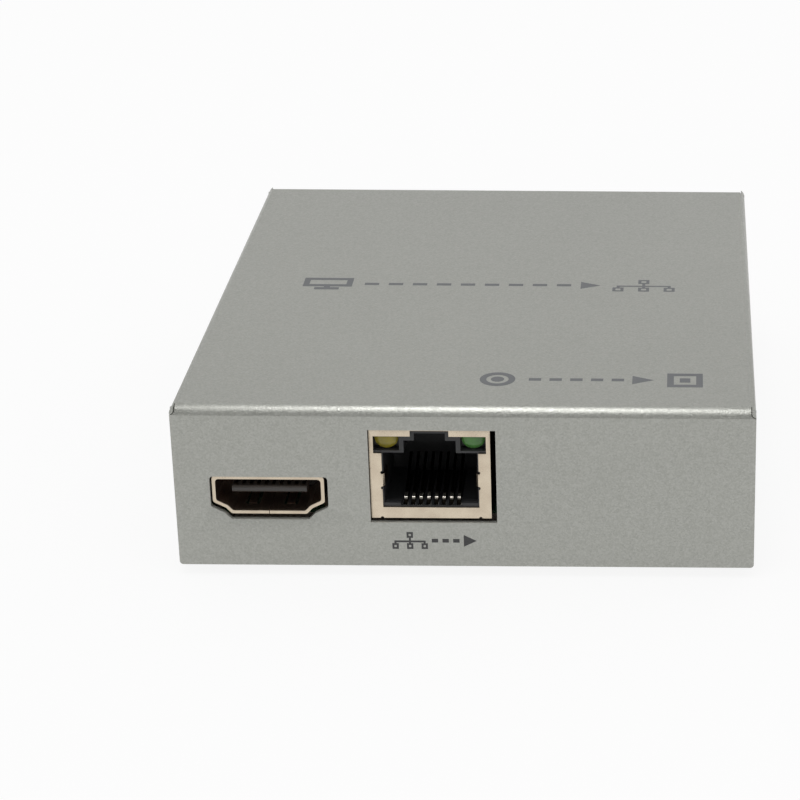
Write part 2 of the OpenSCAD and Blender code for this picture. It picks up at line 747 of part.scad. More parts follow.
module board_openings() {
    at_spacers() translate([0, 0, board_z - overrun])
        cylinder(d = board_screw_d + 2 * hole_clear, h = board_t + 2 * overrun, $fn = round_fn);
    for (place = hdmi_leg_places()) leg_slot(place[0], place[1], [hdmi_wall, hdmi_leg_l]);
    for (place = rj_leg_places()) leg_slot(place[0], place[1], [rj_sheet_t, hdmi_leg_l]);
    for (place = peg_places()) lead_hole(place[0], place[1], 2 * peg_r);
    for (i = [0:wire_count - 1]) lead_hole(wire_x(i), wire_tail_y(i), norm([wire_w, wire_t]));
    for (x = led_lead_places()) lead_hole(x, led_lead_y, norm([wire_w, wire_t]));
    for (place = dc_terminal_places()) leg_slot(place[0], place[1], dc_terminal);
    for (place = ir_contact_places()) leg_slot(place[0], place[1], ir_contact);
    for (place = reset_leg_places()) leg_slot(place[0], place[1], reset_leg);
    for (place = light_lead_places()) lead_hole(place[0], light_lead_y, norm([wire_w, wire_t]));
}

module main_board() {
    color([0.05, 0.3, 0.16]) in_case() difference() {
        translate([board_x, board_x, board_z]) linear_extrude(board_t)
            polygon(rounded([[0, 0], [board_w, 0], [board_w, board_d], [0, board_d]], board_corner_r));
        board_openings();
    }
}

// HDMI socket

function hdmi_leg_places() =
    [for (side = [-1, 1], share = [0.33, 0.8])
        [hdmi_x + side * (hdmi_w + hdmi_wall) / 2, socket_recess + share * hdmi_d]];

module hdmi_prism(points, y, length) {
    translate([hdmi_x, 0, hdmi_z]) run_back(y, length) polygon(points);
}

// One spring finger, rising from the wall at z = 0 into the opening, free end forward
module finger() {
    root_y = socket_recess + hdmi_cavity_d - finger_gap;
    run_right(-finger_w / 2, finger_w)
        strip([[root_y, -hdmi_wall / 2], [root_y - finger_l / 2, finger_t],
               [root_y - finger_l, -finger_t / 2], [root_y - finger_l - finger_t, -finger_t / 2]], finger_t);
}

// The hole that leaves room for a finger in the wall below z = 0
module finger_slot() {
    back_y = socket_recess + hdmi_cavity_d - 2 * finger_gap;
    block([-finger_w / 2 - finger_gap, back_y - finger_l, -hdmi_wall - overrun],
          [finger_w + 2 * finger_gap, finger_l, hdmi_wall + 2 * overrun]);
}

module at_fingers() {
    for (side = [-1, 1]) {
        translate([hdmi_x + side * finger_x, 0, hdmi_z]) children();
        translate([hdmi_x + side * finger_x, 0, hdmi_z + hdmi_h]) mirror([0, 0, 1]) children();
    }
}

module hdmi_shell() {
    color(plating) in_case() {
        difference() {
            union() {
                hdmi_prism(rounded(outset(hdmi_outline, hdmi_wall), hdmi_corner_r), socket_recess, hdmi_d);
                for (place = hdmi_leg_places())
                    block([place[0] - hdmi_wall / 2, place[1] - hdmi_leg_l / 2, board_top - leg_drop],
                          [hdmi_wall, hdmi_leg_l, leg_drop + hdmi_z - board_top + hdmi_h / 2]);
            }
            hdmi_prism(rounded(hdmi_outline, hdmi_corner_r), socket_recess - overrun, hdmi_d + 2 * overrun);
            at_fingers() finger_slot();
            block([hdmi_x - fit_gap, socket_recess - overrun, hdmi_z - hdmi_wall - overrun],
                  [2 * fit_gap, hdmi_d + 2 * overrun, hdmi_wall + 2 * overrun]);
        }
        at_fingers() finger();
    }
}

// The strips of both rows; grow widens them into the channels that hold them
module hdmi_strips(grow) {
    for (row = [0, 1], i = [0:9 - row]) {
        x = hdmi_x + (i - 4.5 + row / 2) * hdmi_pitch;
        z = hdmi_z + tongue_z + (row == 0 ? tongue_t / 2 : -tongue_t / 2 - hdmi_contact_t);
        back = hdmi_back_y + hdmi_foot_d + 2 * hdmi_contact_t;
        block([x - hdmi_contact_w / 2 - grow, tongue_y + tongue_t / 2, z - grow],
              [hdmi_contact_w + 2 * grow, back - tongue_y - tongue_t / 2, hdmi_contact_t + 2 * grow]);
        if (grow == 0) {
            block([x - hdmi_contact_w / 2, back - hdmi_contact_t, board_top],
                  [hdmi_contact_w, hdmi_contact_t, z - board_top]);
            block([x - hdmi_contact_w / 2, back - hdmi_contact_t, board_top],
                  [hdmi_contact_w, 6 * hdmi_contact_t, hdmi_contact_t]);
        }
    }
}

module hdmi_insulator() {
    nose = tongue_t / 4;
    color(black_plastic) in_case() difference() {
        union() {
            hdmi_prism(rounded(outset(hdmi_outline, -fit_gap), hdmi_corner_r - fit_gap),
                       hdmi_block_y, hdmi_d - hdmi_cavity_d + hdmi_foot_d);
            block([hdmi_x - hdmi_floor_w / 2, hdmi_back_y + fit_gap, board_top],
                  [hdmi_floor_w, hdmi_foot_d - fit_gap, hdmi_z - board_top + hdmi_h / 2]);
            translate([0, 0, hdmi_z + tongue_z]) run_right(hdmi_x - tongue_w / 2, tongue_w)
                polygon([[tongue_y, -tongue_t / 2 + nose], [tongue_y + nose, -tongue_t / 2],
                         [hdmi_block_y + overrun, -tongue_t / 2], [hdmi_block_y + overrun, tongue_t / 2],
                         [tongue_y + nose, tongue_t / 2], [tongue_y, tongue_t / 2 - nose]]);
        }
        difference() {
            hdmi_strips(fit_gap / 2);
            block([0, 0, 0], [case_w, hdmi_block_y, case_h]);
        }
    }
}

module hdmi_contacts() {
    color(gold) in_case() hdmi_strips(0);
}

// Network socket

function wire_x(i) = rj_x + (i - (wire_count - 1) / 2) * wire_pitch;
function wire_tail_y(i) = tail_y + (i % 2) * 4.5 * wire_w;
function rj_leg_places() =
    [for (side = [-1, 1]) [rj_x + side * (rj_w - rj_sheet_t) / 2, socket_recess + 0.6 * rj_d]];
function peg_places() = [for (side = [-1, 1]) [rj_x + side * 0.36 * rj_w, socket_recess + 0.5 * rj_d]];
function led_lead_places() =
    [for (side = [-1, 1], lead = [-1, 1]) rj_x + side * window_x + lead * led_lead_x];

module in_socket() {
    translate([rj_x, 0, rj_z]) children();
}

// A rectangle centred on x = 0, from z0 up to z1
module band(width, z0, z1) {
    translate([-width / 2, z0]) square([width, z1 - z0]);
}

module rj_openings() {
    band(rj_open_w, rj_rim_h, rj_roof);
    band(2 * window_x + window_w, rj_roof, window_top);
    band(latch_slot_w, window_top - overrun, rj_h + overrun);
    for (side = [-1, 1], end = [-1, 1])
        translate([side * rj_open_w / 2, side_tab_z + end * (side_tab_h / 2 + notch_r)])
            circle(notch_r, $fn = fine_fn);
}

// The half-round notches in the shield's lower edge
module foot_notches() {
    for (side = [-1, 1]) translate([side * foot_notch_x, 0]) circle(notch_r, $fn = fine_fn);
}

// The spring tab at the opening's right side, drawn in x and y
module side_tab() {
    root = rj_open_w / 2;
    strip([[root + rj_sheet_t, socket_recess + rj_sheet_t / 2], [root, socket_recess + rj_sheet_t / 2],
           [root - side_tab_l / 15, socket_recess + side_tab_l / 8],
           [root - side_tab_l / 8, socket_recess + side_tab_l]], rj_sheet_t);
}

module rj45_shield() {
    color(plating) in_case() in_socket() {
        run_back(socket_recess, rj_sheet_t) difference() {
            band(rj_w, 0, rj_h);
            rj_openings();
            foot_notches();
        }
        run_back(socket_recess + rj_sheet_t, rj_d - rj_sheet_t) difference() {
            band(rj_w, 0, rj_h);
            band(rj_w - 2 * rj_sheet_t, -overrun, rj_h - rj_sheet_t);
        }
        run_back(rj_back_y - rj_sheet_t, rj_sheet_t) band(rj_w, 0, rj_h);
        difference() {
            block([-rj_w / 2, socket_recess, 0], [rj_w, 8 * rj_sheet_t, rj_sheet_t]);
            run_back(socket_recess - overrun, 4 * rj_sheet_t + overrun) foot_notches();
        }
        for (side = [0, 1]) mirror([side, 0, 0]) {
            translate([0, 0, side_tab_z - side_tab_h / 2]) linear_extrude(side_tab_h) side_tab();
            block([rj_w / 2 - rj_sheet_t, socket_recess + 0.6 * rj_d - hdmi_leg_l / 2, -rj_lift - leg_drop],
                  [rj_sheet_t, hdmi_leg_l, leg_drop + rj_h / 4]);
        }
    }
}

// Path of a contact wire in y and z, from its tail to its free end
function wire_path(i) = [
    [wire_tail_y(i), -rj_lift - leg_drop], [wire_tail_y(i), wire_z], [wire_front_y, wire_z],
    [wire_front_y + wire_w, wire_z + wire_bend_h], [wire_front_y + wire_rise_y, wire_z + wire_rise]];

// Path of an indicator's wire in y and z
function led_lead_path() = [
    [led_lead_y, -rj_lift - leg_drop], [led_lead_y, lens_z - lens_r / 2],
    [lens_y + lens_l, lens_z - lens_r / 2]];

module wires(grow) {
    for (i = [0:wire_count - 1])
        run_right(wire_x(i) - rj_x - wire_w / 2 - grow, wire_w + 2 * grow)
            strip(wire_path(i), wire_t + 2 * grow);
}

module led_wires(grow) {
    for (x = led_lead_places())
        run_right(x - rj_x - wire_w / 2 - grow, wire_w + 2 * grow) strip(led_lead_path(), wire_t + 2 * grow);
}

// An indicator's body along Y with its shallow dome forward, cut flat under the shield's rim
module lens(side, grow) {
    r = lens_r + grow;
    translate([side * window_x, 0, 0]) intersection() {
        rod(0, lens_z, r, lens_y, lens_l);
        union() {
            translate([0, lens_y + 2 * r, lens_z]) sphere(2 * r, $fn = round_fn);
            block([-2 * r, lens_y + 2 * r, lens_z - 2 * r], [4 * r, lens_l, 4 * r]);
        }
        block([-2 * r, lens_y - overrun, lens_z - 2 * r],
              [4 * r, lens_l + 2 * overrun, window_top - wire_t / 6 + grow - lens_z + 2 * r]);
    }
}

module rj45_housing() {
    length = rj_d - 2 * housing_in;
    width = rj_w - 2 * housing_in;
    color(black_plastic) in_case() in_socket() difference() {
        union() {
            run_back(housing_y, length) band(width, housing_in, rj_h - housing_in);
            block([-width / 2, housing_y + 0.8 * length, -rj_lift],
                  [width, 0.2 * length, housing_in + rj_lift]);
            for (place = peg_places())
                translate([place[0] - rj_x, place[1], -rj_lift - leg_drop])
                    cylinder(r = peg_r, h = leg_drop + rj_lift + housing_in, $fn = round_fn);
        }
        run_back(housing_y - overrun, rj_cavity_d + overrun) band(rj_cavity_w, rj_floor, rj_roof);
        run_back(housing_y - overrun, latch_d + overrun) {
            band(latch_w, rj_roof - overrun, rj_roof + latch_h);
            band(latch_top_w, rj_roof + latch_h - overrun, rj_roof + latch_h + latch_top_h);
        }
        for (side = [-1, 1]) {
            block([side * window_x - window_w / 2, housing_y - overrun, window_z],
                  [window_w, lens_r + overrun, window_top - window_z]);
            lens(side, fit_gap);
            translate([side * rj_open_w / 2, 0, side_tab_z])
                block([-side_tab_l / 4, housing_y - overrun, -side_tab_h / 2 - notch_r],
                      [side_tab_l / 2, side_tab_l + overrun, side_tab_h + 2 * notch_r]);
        }
        wires(fit_gap);
        led_wires(fit_gap);
        for (i = [0:wire_count - 1])
            block([wire_x(i) - rj_x - 0.75 * wire_w, housing_y + wire_t, wire_z - wire_t / 2 - fit_gap],
                  [1.5 * wire_w, rj_cavity_d - wire_t, rj_floor]);
    }
    color(black_plastic) in_case() in_socket() for (side = [0, 1]) mirror([side, 0, 0])
        block([wire_count / 2 * wire_pitch, housing_y, rj_floor],
              [rj_cavity_w / 2 - wire_count / 2 * wire_pitch, 3 * wire_w, wire_w]);
}

module rj45_contacts() {
    color(gold) in_case() in_socket() wires(0);
}

module rj45_led_yellow() {
    color([0.75, 0.66, 0.15]) in_case() in_socket() lens(-1, 0);
}

module rj45_led_green() {
    color([0.3, 0.62, 0.3]) in_case() in_socket() lens(1, 0);
}

module rj45_led_leads() {
    color(tin) in_case() in_socket() led_wires(0);
}

// Board parts

// A chip's body in the middle of z = 0, with its bevelled top edge
module chip_body(size, height) {
    bevel = height / 6;
    block([-size[0] / 2, -size[1] / 2, height / 12], [size[0], size[1], height - height / 12 - bevel]);
    block([-size[0] / 2 + bevel, -size[1] / 2 + bevel, height - bevel],
          [size[0] - 2 * bevel, size[1] - 2 * bevel, bevel]);
}

// Leads along the two long sides, at +x and -x, of a body
module side_leads(size, height, count) {
    pitch = size[1] / (count + 1);
    for (side = [0, 1], i = [1:count]) mirror([side, 0, 0]) translate([0, -size[1] / 2 + i * pitch, 0]) {
        block([size[0] / 2, -pitch / 4, 0], [lead_reach, pitch / 2, lead_t]);
        block([size[0] / 2, -pitch / 4, 0], [lead_t, pitch / 2, height / 2]);
    }
}

module network_transformer() {
    size = [transformer_w, transformer_l];
    color(chip_black) in_case() on_board(transformer_place) rotate(90) {
        chip_body(size, transformer_h);
        side_leads(size, transformer_h / 2, 8);
    }
}

module network_phy_chip() {
    color(chip_black) in_case() on_board(phy_place) {
        chip_body([phy_w, phy_w], chip_h);
        for (turn = [0, 90]) rotate(turn) side_leads([phy_w, phy_w], chip_h, 10);
    }
}

module hdmi_receiver_chip() {
    color(chip_black) in_case() on_board(receiver_place) {
        chip_body([receiver_w, receiver_w], chip_h);
        for (turn = [0, 90]) rotate(turn) side_leads([receiver_w, receiver_w], chip_h, 14);
    }
}

module memory_chips() {
    color(chip_black) in_case() for (place = memory_places) on_board(place)
        block([-memory_w / 2, -memory_l / 2, 0], [memory_w, memory_l, chip_h]);
}

module flash_chip() {
    color(chip_black) in_case() on_board(flash_place) {
        chip_body(flash_size, chip_h);
        side_leads(flash_size, chip_h, 4);
    }
}

module main_processor() {
    lid = 0.8 * processor_w;
    color([0.2, 0.22, 0.2]) in_case() on_board(processor_place) {
        block([-processor_w / 2, -processor_w / 2, 0], [processor_w, processor_w, processor_h / 2]);
        block([-lid / 2, -lid / 2, processor_h / 2], [lid, lid, processor_h / 2]);
    }
}

module thermal_pad() {
    pad_w = 0.8 * processor_w;
    color([0.75, 0.75, 0.8]) in_case() on_board(processor_place)
        block([-pad_w / 2, -pad_w / 2, processor_h], [pad_w, pad_w, pad_t]);
}

module heat_sink() {
    fin_step = (sink_w - fin_t) / (sink_fins - 1);
    color([0.72, 0.73, 0.75]) in_case() on_board(processor_place) translate([0, 0, processor_h + pad_t]) {
        block([-sink_w / 2, -sink_w / 2, 0], [sink_w, sink_w, sink_base]);
        for (i = [0:sink_fins - 1])
            block([-sink_w / 2 + i * fin_step, -sink_w / 2, sink_base], [fin_t, sink_w, sink_h - sink_base]);
    }
}

module crystals() {
    cap = 0.2 * crystal_h;
    color(tin) in_case() for (place = crystal_places) on_board(place) {
        block([-crystal_l / 2, -crystal_w / 2, 0], [crystal_l, crystal_w, crystal_h - cap]);
        block([-crystal_l / 2 + cap, -crystal_w / 2 + cap, crystal_h - cap],
              [crystal_l - 2 * cap, crystal_w - 2 * cap, cap]);
    }
}

module power_inductors() {
    core_r = 0.42 * inductor_w;
    color([0.3, 0.3, 0.32]) in_case() for (place = coil_places) on_board(place) {
        block([-inductor_w / 2, -inductor_w / 2, 0], [inductor_w, inductor_w, inductor_h / 5]);
        cylinder(r = core_r, h = inductor_h, $fn = round_fn);
        translate([0, 0, inductor_h * 0.85]) cylinder(d = inductor_w, h = inductor_h * 0.15, $fn = round_fn);
    }
}

module converter_chips() {
    color(chip_black) in_case() for (place = converter_places) on_board(place) {
        chip_body(converter_size, chip_h);
        side_leads(converter_size, chip_h, 4);
    }
}

module electrolytic_capacitors() {
    base = 0.15 * can_h;
    neck = 0.04 * can_d;
    color([0.78, 0.79, 0.8]) in_case() for (place = can_places) on_board(place) {
        block([-can_d / 2, -can_d / 2, 0], [can_d, can_d, base]);
        cylinder(r = can_d / 2 - neck, h = can_h, $fn = round_fn);
        translate([0, 0, 1.6 * base]) cylinder(r = can_d / 2, h = can_h - 1.8 * base, $fn = round_fn);
    }
}

// A row of small parts along x, from its left end
module part_row(height) {
    for (i = [0:row_count - 1])
        block([i * row_step, 0, 0], [chip_part_w, chip_part_l, height]);
}

module small_capacitors() {
    color([0.7, 0.58, 0.42]) in_case() for (place = capacitor_rows) on_board(place)
        part_row(chip_part_w);
}

module small_resistors() {
    color([0.15, 0.15, 0.16]) in_case() for (place = resistor_rows) on_board(place)
        part_row(chip_part_w / 2);
}

module surge_arrays() {
    color(chip_black) in_case() on_board(surge_place)
        for (i = [0:2]) block([i * 2 * chip_part_l, 0, 0], [chip_part_l, chip_part_l, chip_part_w]);
}

// Power jack, its mouth toward +Y at rear_part_y

dc_collar = 0.25 * dc_d;
function dc_terminal_places() =
    [[dc_x, rear_part_y - dc_d - dc_terminal[1] / 2], [dc_x, rear_part_y - 0.55 * dc_d]];
dc_spring_t = 0.3 * dc_pin_r;

module dc_jack_body() {
    body_w = 0.92 * dc_w;
    color(black_plastic) in_case() difference() {
        union() {
            block([dc_x - dc_w / 2, rear_part_y - dc_collar, board_top], [dc_w, dc_collar, dc_h]);
            block([dc_x - body_w / 2, rear_part_y - dc_d, board_top],
                  [body_w, dc_d - dc_collar, dc_z - board_top]);
            rod(dc_x, dc_z, body_w / 2, rear_part_y - dc_d, dc_d - dc_collar);
        }
        rod(dc_x, dc_z, dc_mouth_r, rear_part_y - dc_mouth_d, dc_mouth_d + overrun);
        rod(dc_x, dc_z, dc_pin_r + fit_gap, rear_part_y - dc_d - overrun, dc_d);
        block([dc_x - dc_pin_r - fit_gap, rear_part_y - dc_mouth_d, dc_z - dc_mouth_r - 3 * dc_spring_t],
              [2 * (dc_pin_r + fit_gap), dc_mouth_d - dc_collar / 2, dc_mouth_r]);
        leg_slot_in_body();
    }
}

// Room in the jack's floor for the sleeve terminal
module leg_slot_in_body() {
    place = dc_terminal_places()[1];
    room = dc_terminal + 2 * [fit_gap, fit_gap];
    block([place[0] - room[0] / 2, place[1] - room[1] / 2, board_top - overrun],
          [room[0], room[1], dc_z - dc_mouth_r - board_top]);
}

module dc_jack_pin() {
    color(tin) in_case() {
        rod(dc_x, dc_z, dc_pin_r, rear_part_y - dc_d, dc_d - 2 * dc_pin_r);
        translate([dc_x, rear_part_y - 2 * dc_pin_r, dc_z]) sphere(dc_pin_r, $fn = round_fn);
    }
}

module dc_jack_spring() {
    low = dc_z - dc_mouth_r - 2 * dc_spring_t;
    color(gold) in_case() run_right(dc_x - dc_pin_r, 2 * dc_pin_r)
        strip([[rear_part_y - dc_mouth_d + dc_spring_t, low], [rear_part_y - 0.6 * dc_mouth_d, low],
               [rear_part_y - 0.35 * dc_mouth_d, low + 3 * dc_spring_t],
               [rear_part_y - 0.25 * dc_mouth_d, low + 2 * dc_spring_t]], dc_spring_t);
}

module dc_jack_terminals() {
    places = dc_terminal_places();
    heights = [dc_z + dc_pin_r - board_top, dc_z - dc_mouth_r - 3 * dc_spring_t - board_top];
    color(tin) in_case() for (i = [0, 1])
        block([places[i][0] - dc_terminal[0] / 2, places[i][1] - dc_terminal[1] / 2, board_top - leg_drop],
              [dc_terminal[0], dc_terminal[1], leg_drop + heights[i]]);
}

// Infrared jack, its mouth toward +Y at rear_part_y

ir_body_y = rear_part_y - ir_nose_l - ir_d;
ir_contact = [0.16, 0.9] * ir_bore_r;
function ir_contact_places() =
    [for (i = [0:2]) [ir_x + (i % 2 == 0 ? -1 : 1) * (ir_bore_r + 4 * fit_gap + ir_contact[0] / 2),
                      ir_body_y + (0.2 + 0.28 * i) * ir_d]];

module ir_jack_body() {
    color(black_plastic) in_case() difference() {
        union() {
            block([ir_x - ir_w / 2, ir_body_y, board_top], [ir_w, ir_d, ir_h]);
            rod(ir_x, ir_z, ir_nose_r, ir_body_y + ir_d - overrun, ir_nose_l + overrun);
        }
        rod(ir_x, ir_z, ir_bore_r, ir_body_y + ir_d / 12, ir_d + ir_nose_l);
        for (place = ir_contact_places())
            block([place[0] - ir_contact[0] / 2 - fit_gap, place[1] - ir_contact[1] / 2 - fit_gap,
                   board_top - overrun],
                  [ir_contact[0] + 2 * fit_gap, ir_contact[1] + 2 * fit_gap, ir_z - board_top + ir_bore_r]);
    }
}

module ir_jack_contacts() {
    color(gold) in_case() for (place = ir_contact_places())
        block([place[0] - ir_contact[0] / 2, place[1] - ir_contact[1] / 2, board_top - leg_drop],
              [ir_contact[0], ir_contact[1], leg_drop + ir_z - board_top + ir_bore_r / 2]);
}

// Reset switch, its stem toward +Y

reset_plate_t = reset_d / 17;
reset_front_y = rear_part_y - reset_stem_l;
reset_back_y = reset_front_y - reset_d;
reset_flange_r = 1.25 * reset_stem_r;
reset_flange_t = 0.2 * reset_d;
reset_well = 0.6 * reset_d;
reset_leg = [0.12, 0.06] * reset_w;
function reset_leg_places() =
    [for (side = [-1, 1], depth = [0.25, 0.75])
        [reset_x + side * (reset_w / 2 + reset_leg[0] / 2), reset_back_y + depth * reset_d]];

module reset_switch_body() {
    color(black_plastic) in_case() difference() {
        block([reset_x - reset_w / 2, reset_back_y, board_top], [reset_w, reset_d - reset_plate_t, reset_w]);
        rod(reset_x, reset_z, reset_flange_r + reset_clear, reset_front_y - reset_plate_t - reset_well,
            reset_well + overrun);
    }
}

module reset_switch_cover() {
    color(tin) in_case() difference() {
        block([reset_x - reset_w / 2, reset_front_y - reset_plate_t, board_top],
              [reset_w, reset_plate_t, reset_w]);
        rod(reset_x, reset_z, reset_stem_r + reset_clear, reset_front_y - reset_plate_t - overrun,
            reset_plate_t + 2 * overrun);
    }
}

module reset_button() {
    color([0.15, 0.15, 0.15]) in_case() {
        rod(reset_x, reset_z, reset_stem_r, reset_front_y - reset_plate_t - reset_flange_t,
            reset_stem_l + reset_plate_t + reset_flange_t);
        rod(reset_x, reset_z, reset_flange_r, reset_front_y - reset_plate_t - reset_flange_t - fit_gap,
            reset_flange_t);
    }
}

// The sprung dome that the button presses, lying on the floor of the switch's well
module reset_dome() {
    base_y = reset_front_y - reset_plate_t - reset_well;
    rim = reset_flange_r;
    rise = reset_well - reset_flange_t - fit_gap - reset_travel - 2 * fit_gap;
    color(tin) in_case() {
        rod(reset_x, reset_z, rim, base_y, rise / 3);
        rod(reset_x, reset_z, 0.6 * rim, base_y + rise / 3, rise / 3);
        rod(reset_x, reset_z, 0.3 * rim, base_y + rise * 2 / 3, rise / 3);
    }
}

module reset_switch_legs() {
    color(tin) in_case() for (place = reset_leg_places())
        block([place[0] - reset_leg[0] / 2, place[1] - reset_leg[1] / 2, board_top - leg_drop],
              [reset_leg[0], reset_leg[1], leg_drop + reset_w / 3]);
}

// Indicator lights, their domes toward +Y

light_flange_r = 1.25 * light_r;
light_flange_t = 0.19 * light_l;
holder_w = 1.5 * 2 * light_r;
holder_d = 0.45 * light_l;
light_lead_y = rear_part_y - light_l - 2 * wire_w;
function light_lead_places() =
    [for (share = light_x_shares, side = [-1, 1]) [share * case_w + side * 0.4 * light_r, light_lead_y]];

module light(share) {
    x = share * case_w;
    rod(x, light_axis_z, light_r, rear_part_y - light_l, light_l - light_r);
    translate([x, rear_part_y - light_r, light_axis_z]) sphere(light_r, $fn = round_fn);
    rod(x, light_axis_z, light_flange_r, rear_part_y - light_l, light_flange_t);
}

module status_led() {
    color([0.25, 0.7, 0.3]) in_case() light(light_x_shares[0]);
}

module power_led() {
    color([0.75, 0.15, 0.12]) in_case() light(light_x_shares[1]);
}

module led_holders() {
    y = rear_part_y - light_l + light_flange_t + fit_gap;
    color(black_plastic) in_case() for (share = light_x_shares) difference() {
        block([share * case_w - holder_w / 2, y, board_top], [holder_w, holder_d, light_z + light_flange_r]);
        rod(share * case_w, light_axis_z, light_r + fit_gap, y - overrun, holder_d + 2 * overrun);
    }
}

module led_leads() {
    color(tin) in_case() for (place = light_lead_places())
        run_right(place[0] - wire_w / 2, wire_w)
            strip([[place[1], board_top - leg_drop], [place[1], light_axis_z],
                   [rear_part_y - light_l, light_axis_z]], wire_t);
}

top_cover();
bottom_plate();
case_screws();
rubber_feet();
pcb_standoffs();
pcb_screws();
main_board();
hdmi_shell();
hdmi_insulator();
hdmi_contacts();
rj45_shield();
rj45_housing();
rj45_contacts();
rj45_led_yellow();
rj45_led_green();
rj45_led_leads();
network_transformer();
network_phy_chip();
main_processor();
thermal_pad();
heat_sink();
hdmi_receiver_chip();
memory_chips();
flash_chip();
crystals();
power_inductors();
converter_chips();
electrolytic_capacitors();
small_capacitors();
small_resistors();
surge_arrays();
dc_jack_body();
dc_jack_pin();
dc_jack_spring();
dc_jack_terminals();
ir_jack_body();
ir_jack_contacts();
reset_switch_body();
reset_switch_cover();
reset_dome();
reset_button();
reset_switch_legs();
led_holders();
power_led();
status_led();
led_leads();
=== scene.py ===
"""An HDMI to network extender in a folded silver steel case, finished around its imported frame."""

import logging
import math
from dataclasses import dataclass, field, replace
from enum import Enum
from typing import Callable, Iterable, Sequence

import bmesh
import bpy
from mathutils import Matrix, Vector


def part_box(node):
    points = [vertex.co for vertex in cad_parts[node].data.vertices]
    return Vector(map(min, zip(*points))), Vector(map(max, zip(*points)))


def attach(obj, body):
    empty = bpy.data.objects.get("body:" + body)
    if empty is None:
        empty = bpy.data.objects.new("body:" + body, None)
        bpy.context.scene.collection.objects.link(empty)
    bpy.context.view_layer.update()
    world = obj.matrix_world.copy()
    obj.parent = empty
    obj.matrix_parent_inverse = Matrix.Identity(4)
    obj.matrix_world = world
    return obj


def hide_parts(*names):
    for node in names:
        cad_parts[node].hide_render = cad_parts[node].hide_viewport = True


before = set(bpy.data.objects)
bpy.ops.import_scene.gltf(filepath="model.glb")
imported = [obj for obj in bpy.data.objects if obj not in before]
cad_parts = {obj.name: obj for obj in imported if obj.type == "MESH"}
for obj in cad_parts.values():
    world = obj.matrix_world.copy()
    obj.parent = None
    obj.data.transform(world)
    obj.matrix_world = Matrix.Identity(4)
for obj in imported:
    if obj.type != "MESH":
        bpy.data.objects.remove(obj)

log = logging.getLogger("extender")

# Lengths in this file are in millimetres, and become metres where a mesh, a light or a camera takes them.
MM = 0.001
PER_METRE = 1000.0
Point2 = tuple[float, float]
Point3 = tuple[float, float, float]
Colour = Point3
# What goes into a node's input: a constant, or another node's output.
SocketValue = object

WHITE: Colour = (1.0, 1.0, 1.0)

# Most of a noise's values lie in this span, round this middle.
NOISE_SPAN: Point2 = (0.3, 0.7)
NOISE_MIDDLE = 0.5
# The colour sockets of the mixing node, which has others for numbers and vectors.
MIX_COLOURS = (6, 7)
MIX_RESULT = 2
# Faces that meet below this angle, in degrees, shade as one on pieces without rounded edges.
SMOOTH_BELOW = 30.0


class Body(Enum):
    """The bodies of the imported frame."""

    CASE = "case"
    PLUNGER = "reset_plunger"


class Slot(Enum):
    """The record's material slots."""

    CASE_PAINT = "case_paint"
    SCREW_STEEL = "screw_steel"
    FOOT_RUBBER = "foot_rubber"
    SPACER_BRASS = "spacer_brass"
    BOARD_LAMINATE = "board_laminate"
    PLATED_STEEL = "plated_steel"
    SOCKET_BLACK = "socket_black"
    CONTACT_GOLD = "contact_gold"
    LENS_YELLOW = "lens_yellow"
    LENS_GREEN = "lens_green"
    LENS_RED = "lens_red"
    TINNED_WIRE = "tinned_wire"
    CHIP_BLACK = "chip_black"
    CHIP_SUBSTRATE = "chip_substrate"
    PAD_GREY = "pad_grey"
    SINK_ALUMINIUM = "sink_aluminium"
    FERRITE_GREY = "ferrite_grey"
    CERAMIC_TAN = "ceramic_tan"


# Node trees


class Bench:
    """A node tree with short ways to place and join its nodes."""

    def __init__(self, tree: bpy.types.NodeTree) -> None:
        """Takes the tree that the nodes go into.

        Args:
            tree: A material's, a world's or a group's node tree.
        """
        self.tree = tree

    def put(self, kind: str, inputs: dict | None = None, **settings: object) -> bpy.types.Node:
        """Places a node.

        Args:
            kind: The node's type, without the leading ShaderNode.
            inputs: For each input's name or number, a constant or the output that feeds it.
            settings: The node's own options.

        Returns:
            The new node.
        """
        node = self.tree.nodes.new("ShaderNode" + kind)
        for name, value in settings.items():
            setattr(node, name, value)
        for name, value in (inputs or {}).items():
            if isinstance(value, bpy.types.NodeSocket):
                self.tree.links.new(value, node.inputs[name])
            else:
                node.inputs[name].default_value = value
        return node

    def maths(self, operation: str, a: SocketValue, b: SocketValue = 0.0) -> bpy.types.NodeSocket:
        """Joins two values by one operation and returns the result's socket."""
        return self.put("Math", {0: a, 1: b}, operation=operation).outputs[0]

    def mix(self, factor: SocketValue, a: SocketValue, b: SocketValue) -> bpy.types.NodeSocket:
        """Mixes two colours.

        Args:
            factor: 0 for the first colour, 1 for the second.
            a: The first colour.
            b: The second colour.

        Returns:
            The mixed colour's socket.
        """
        node = self.put("Mix", {0: factor}, data_type="RGBA")
        for index, value in zip(MIX_COLOURS, (a, b)):
            if isinstance(value, bpy.types.NodeSocket):
                self.tree.links.new(value, node.inputs[index])
            else:
                node.inputs[index].default_value = (*value, 1.0)
        return node.outputs[MIX_RESULT]

    def span(self, value: SocketValue, low: float, high: float,
             to_low: float = 0.0, to_high: float = 1.0) -> bpy.types.NodeSocket:
        """Maps low..high of a value onto to_low..to_high, held at its ends, and returns the socket."""
        node = self.put("MapRange", {"Value": value, "From Min": low, "From Max": high,
                                     "To Min": to_low, "To Max": to_high})
        return node.outputs["Result"]

    def place_mm(self) -> bpy.types.NodeSocket:
        """The point on the surface, in millimetres of the row frame."""
        point = self.put("TexCoord").outputs["Object"]
        return self.put("VectorMath", {0: point, "Scale": PER_METRE}, operation="SCALE").outputs[0]


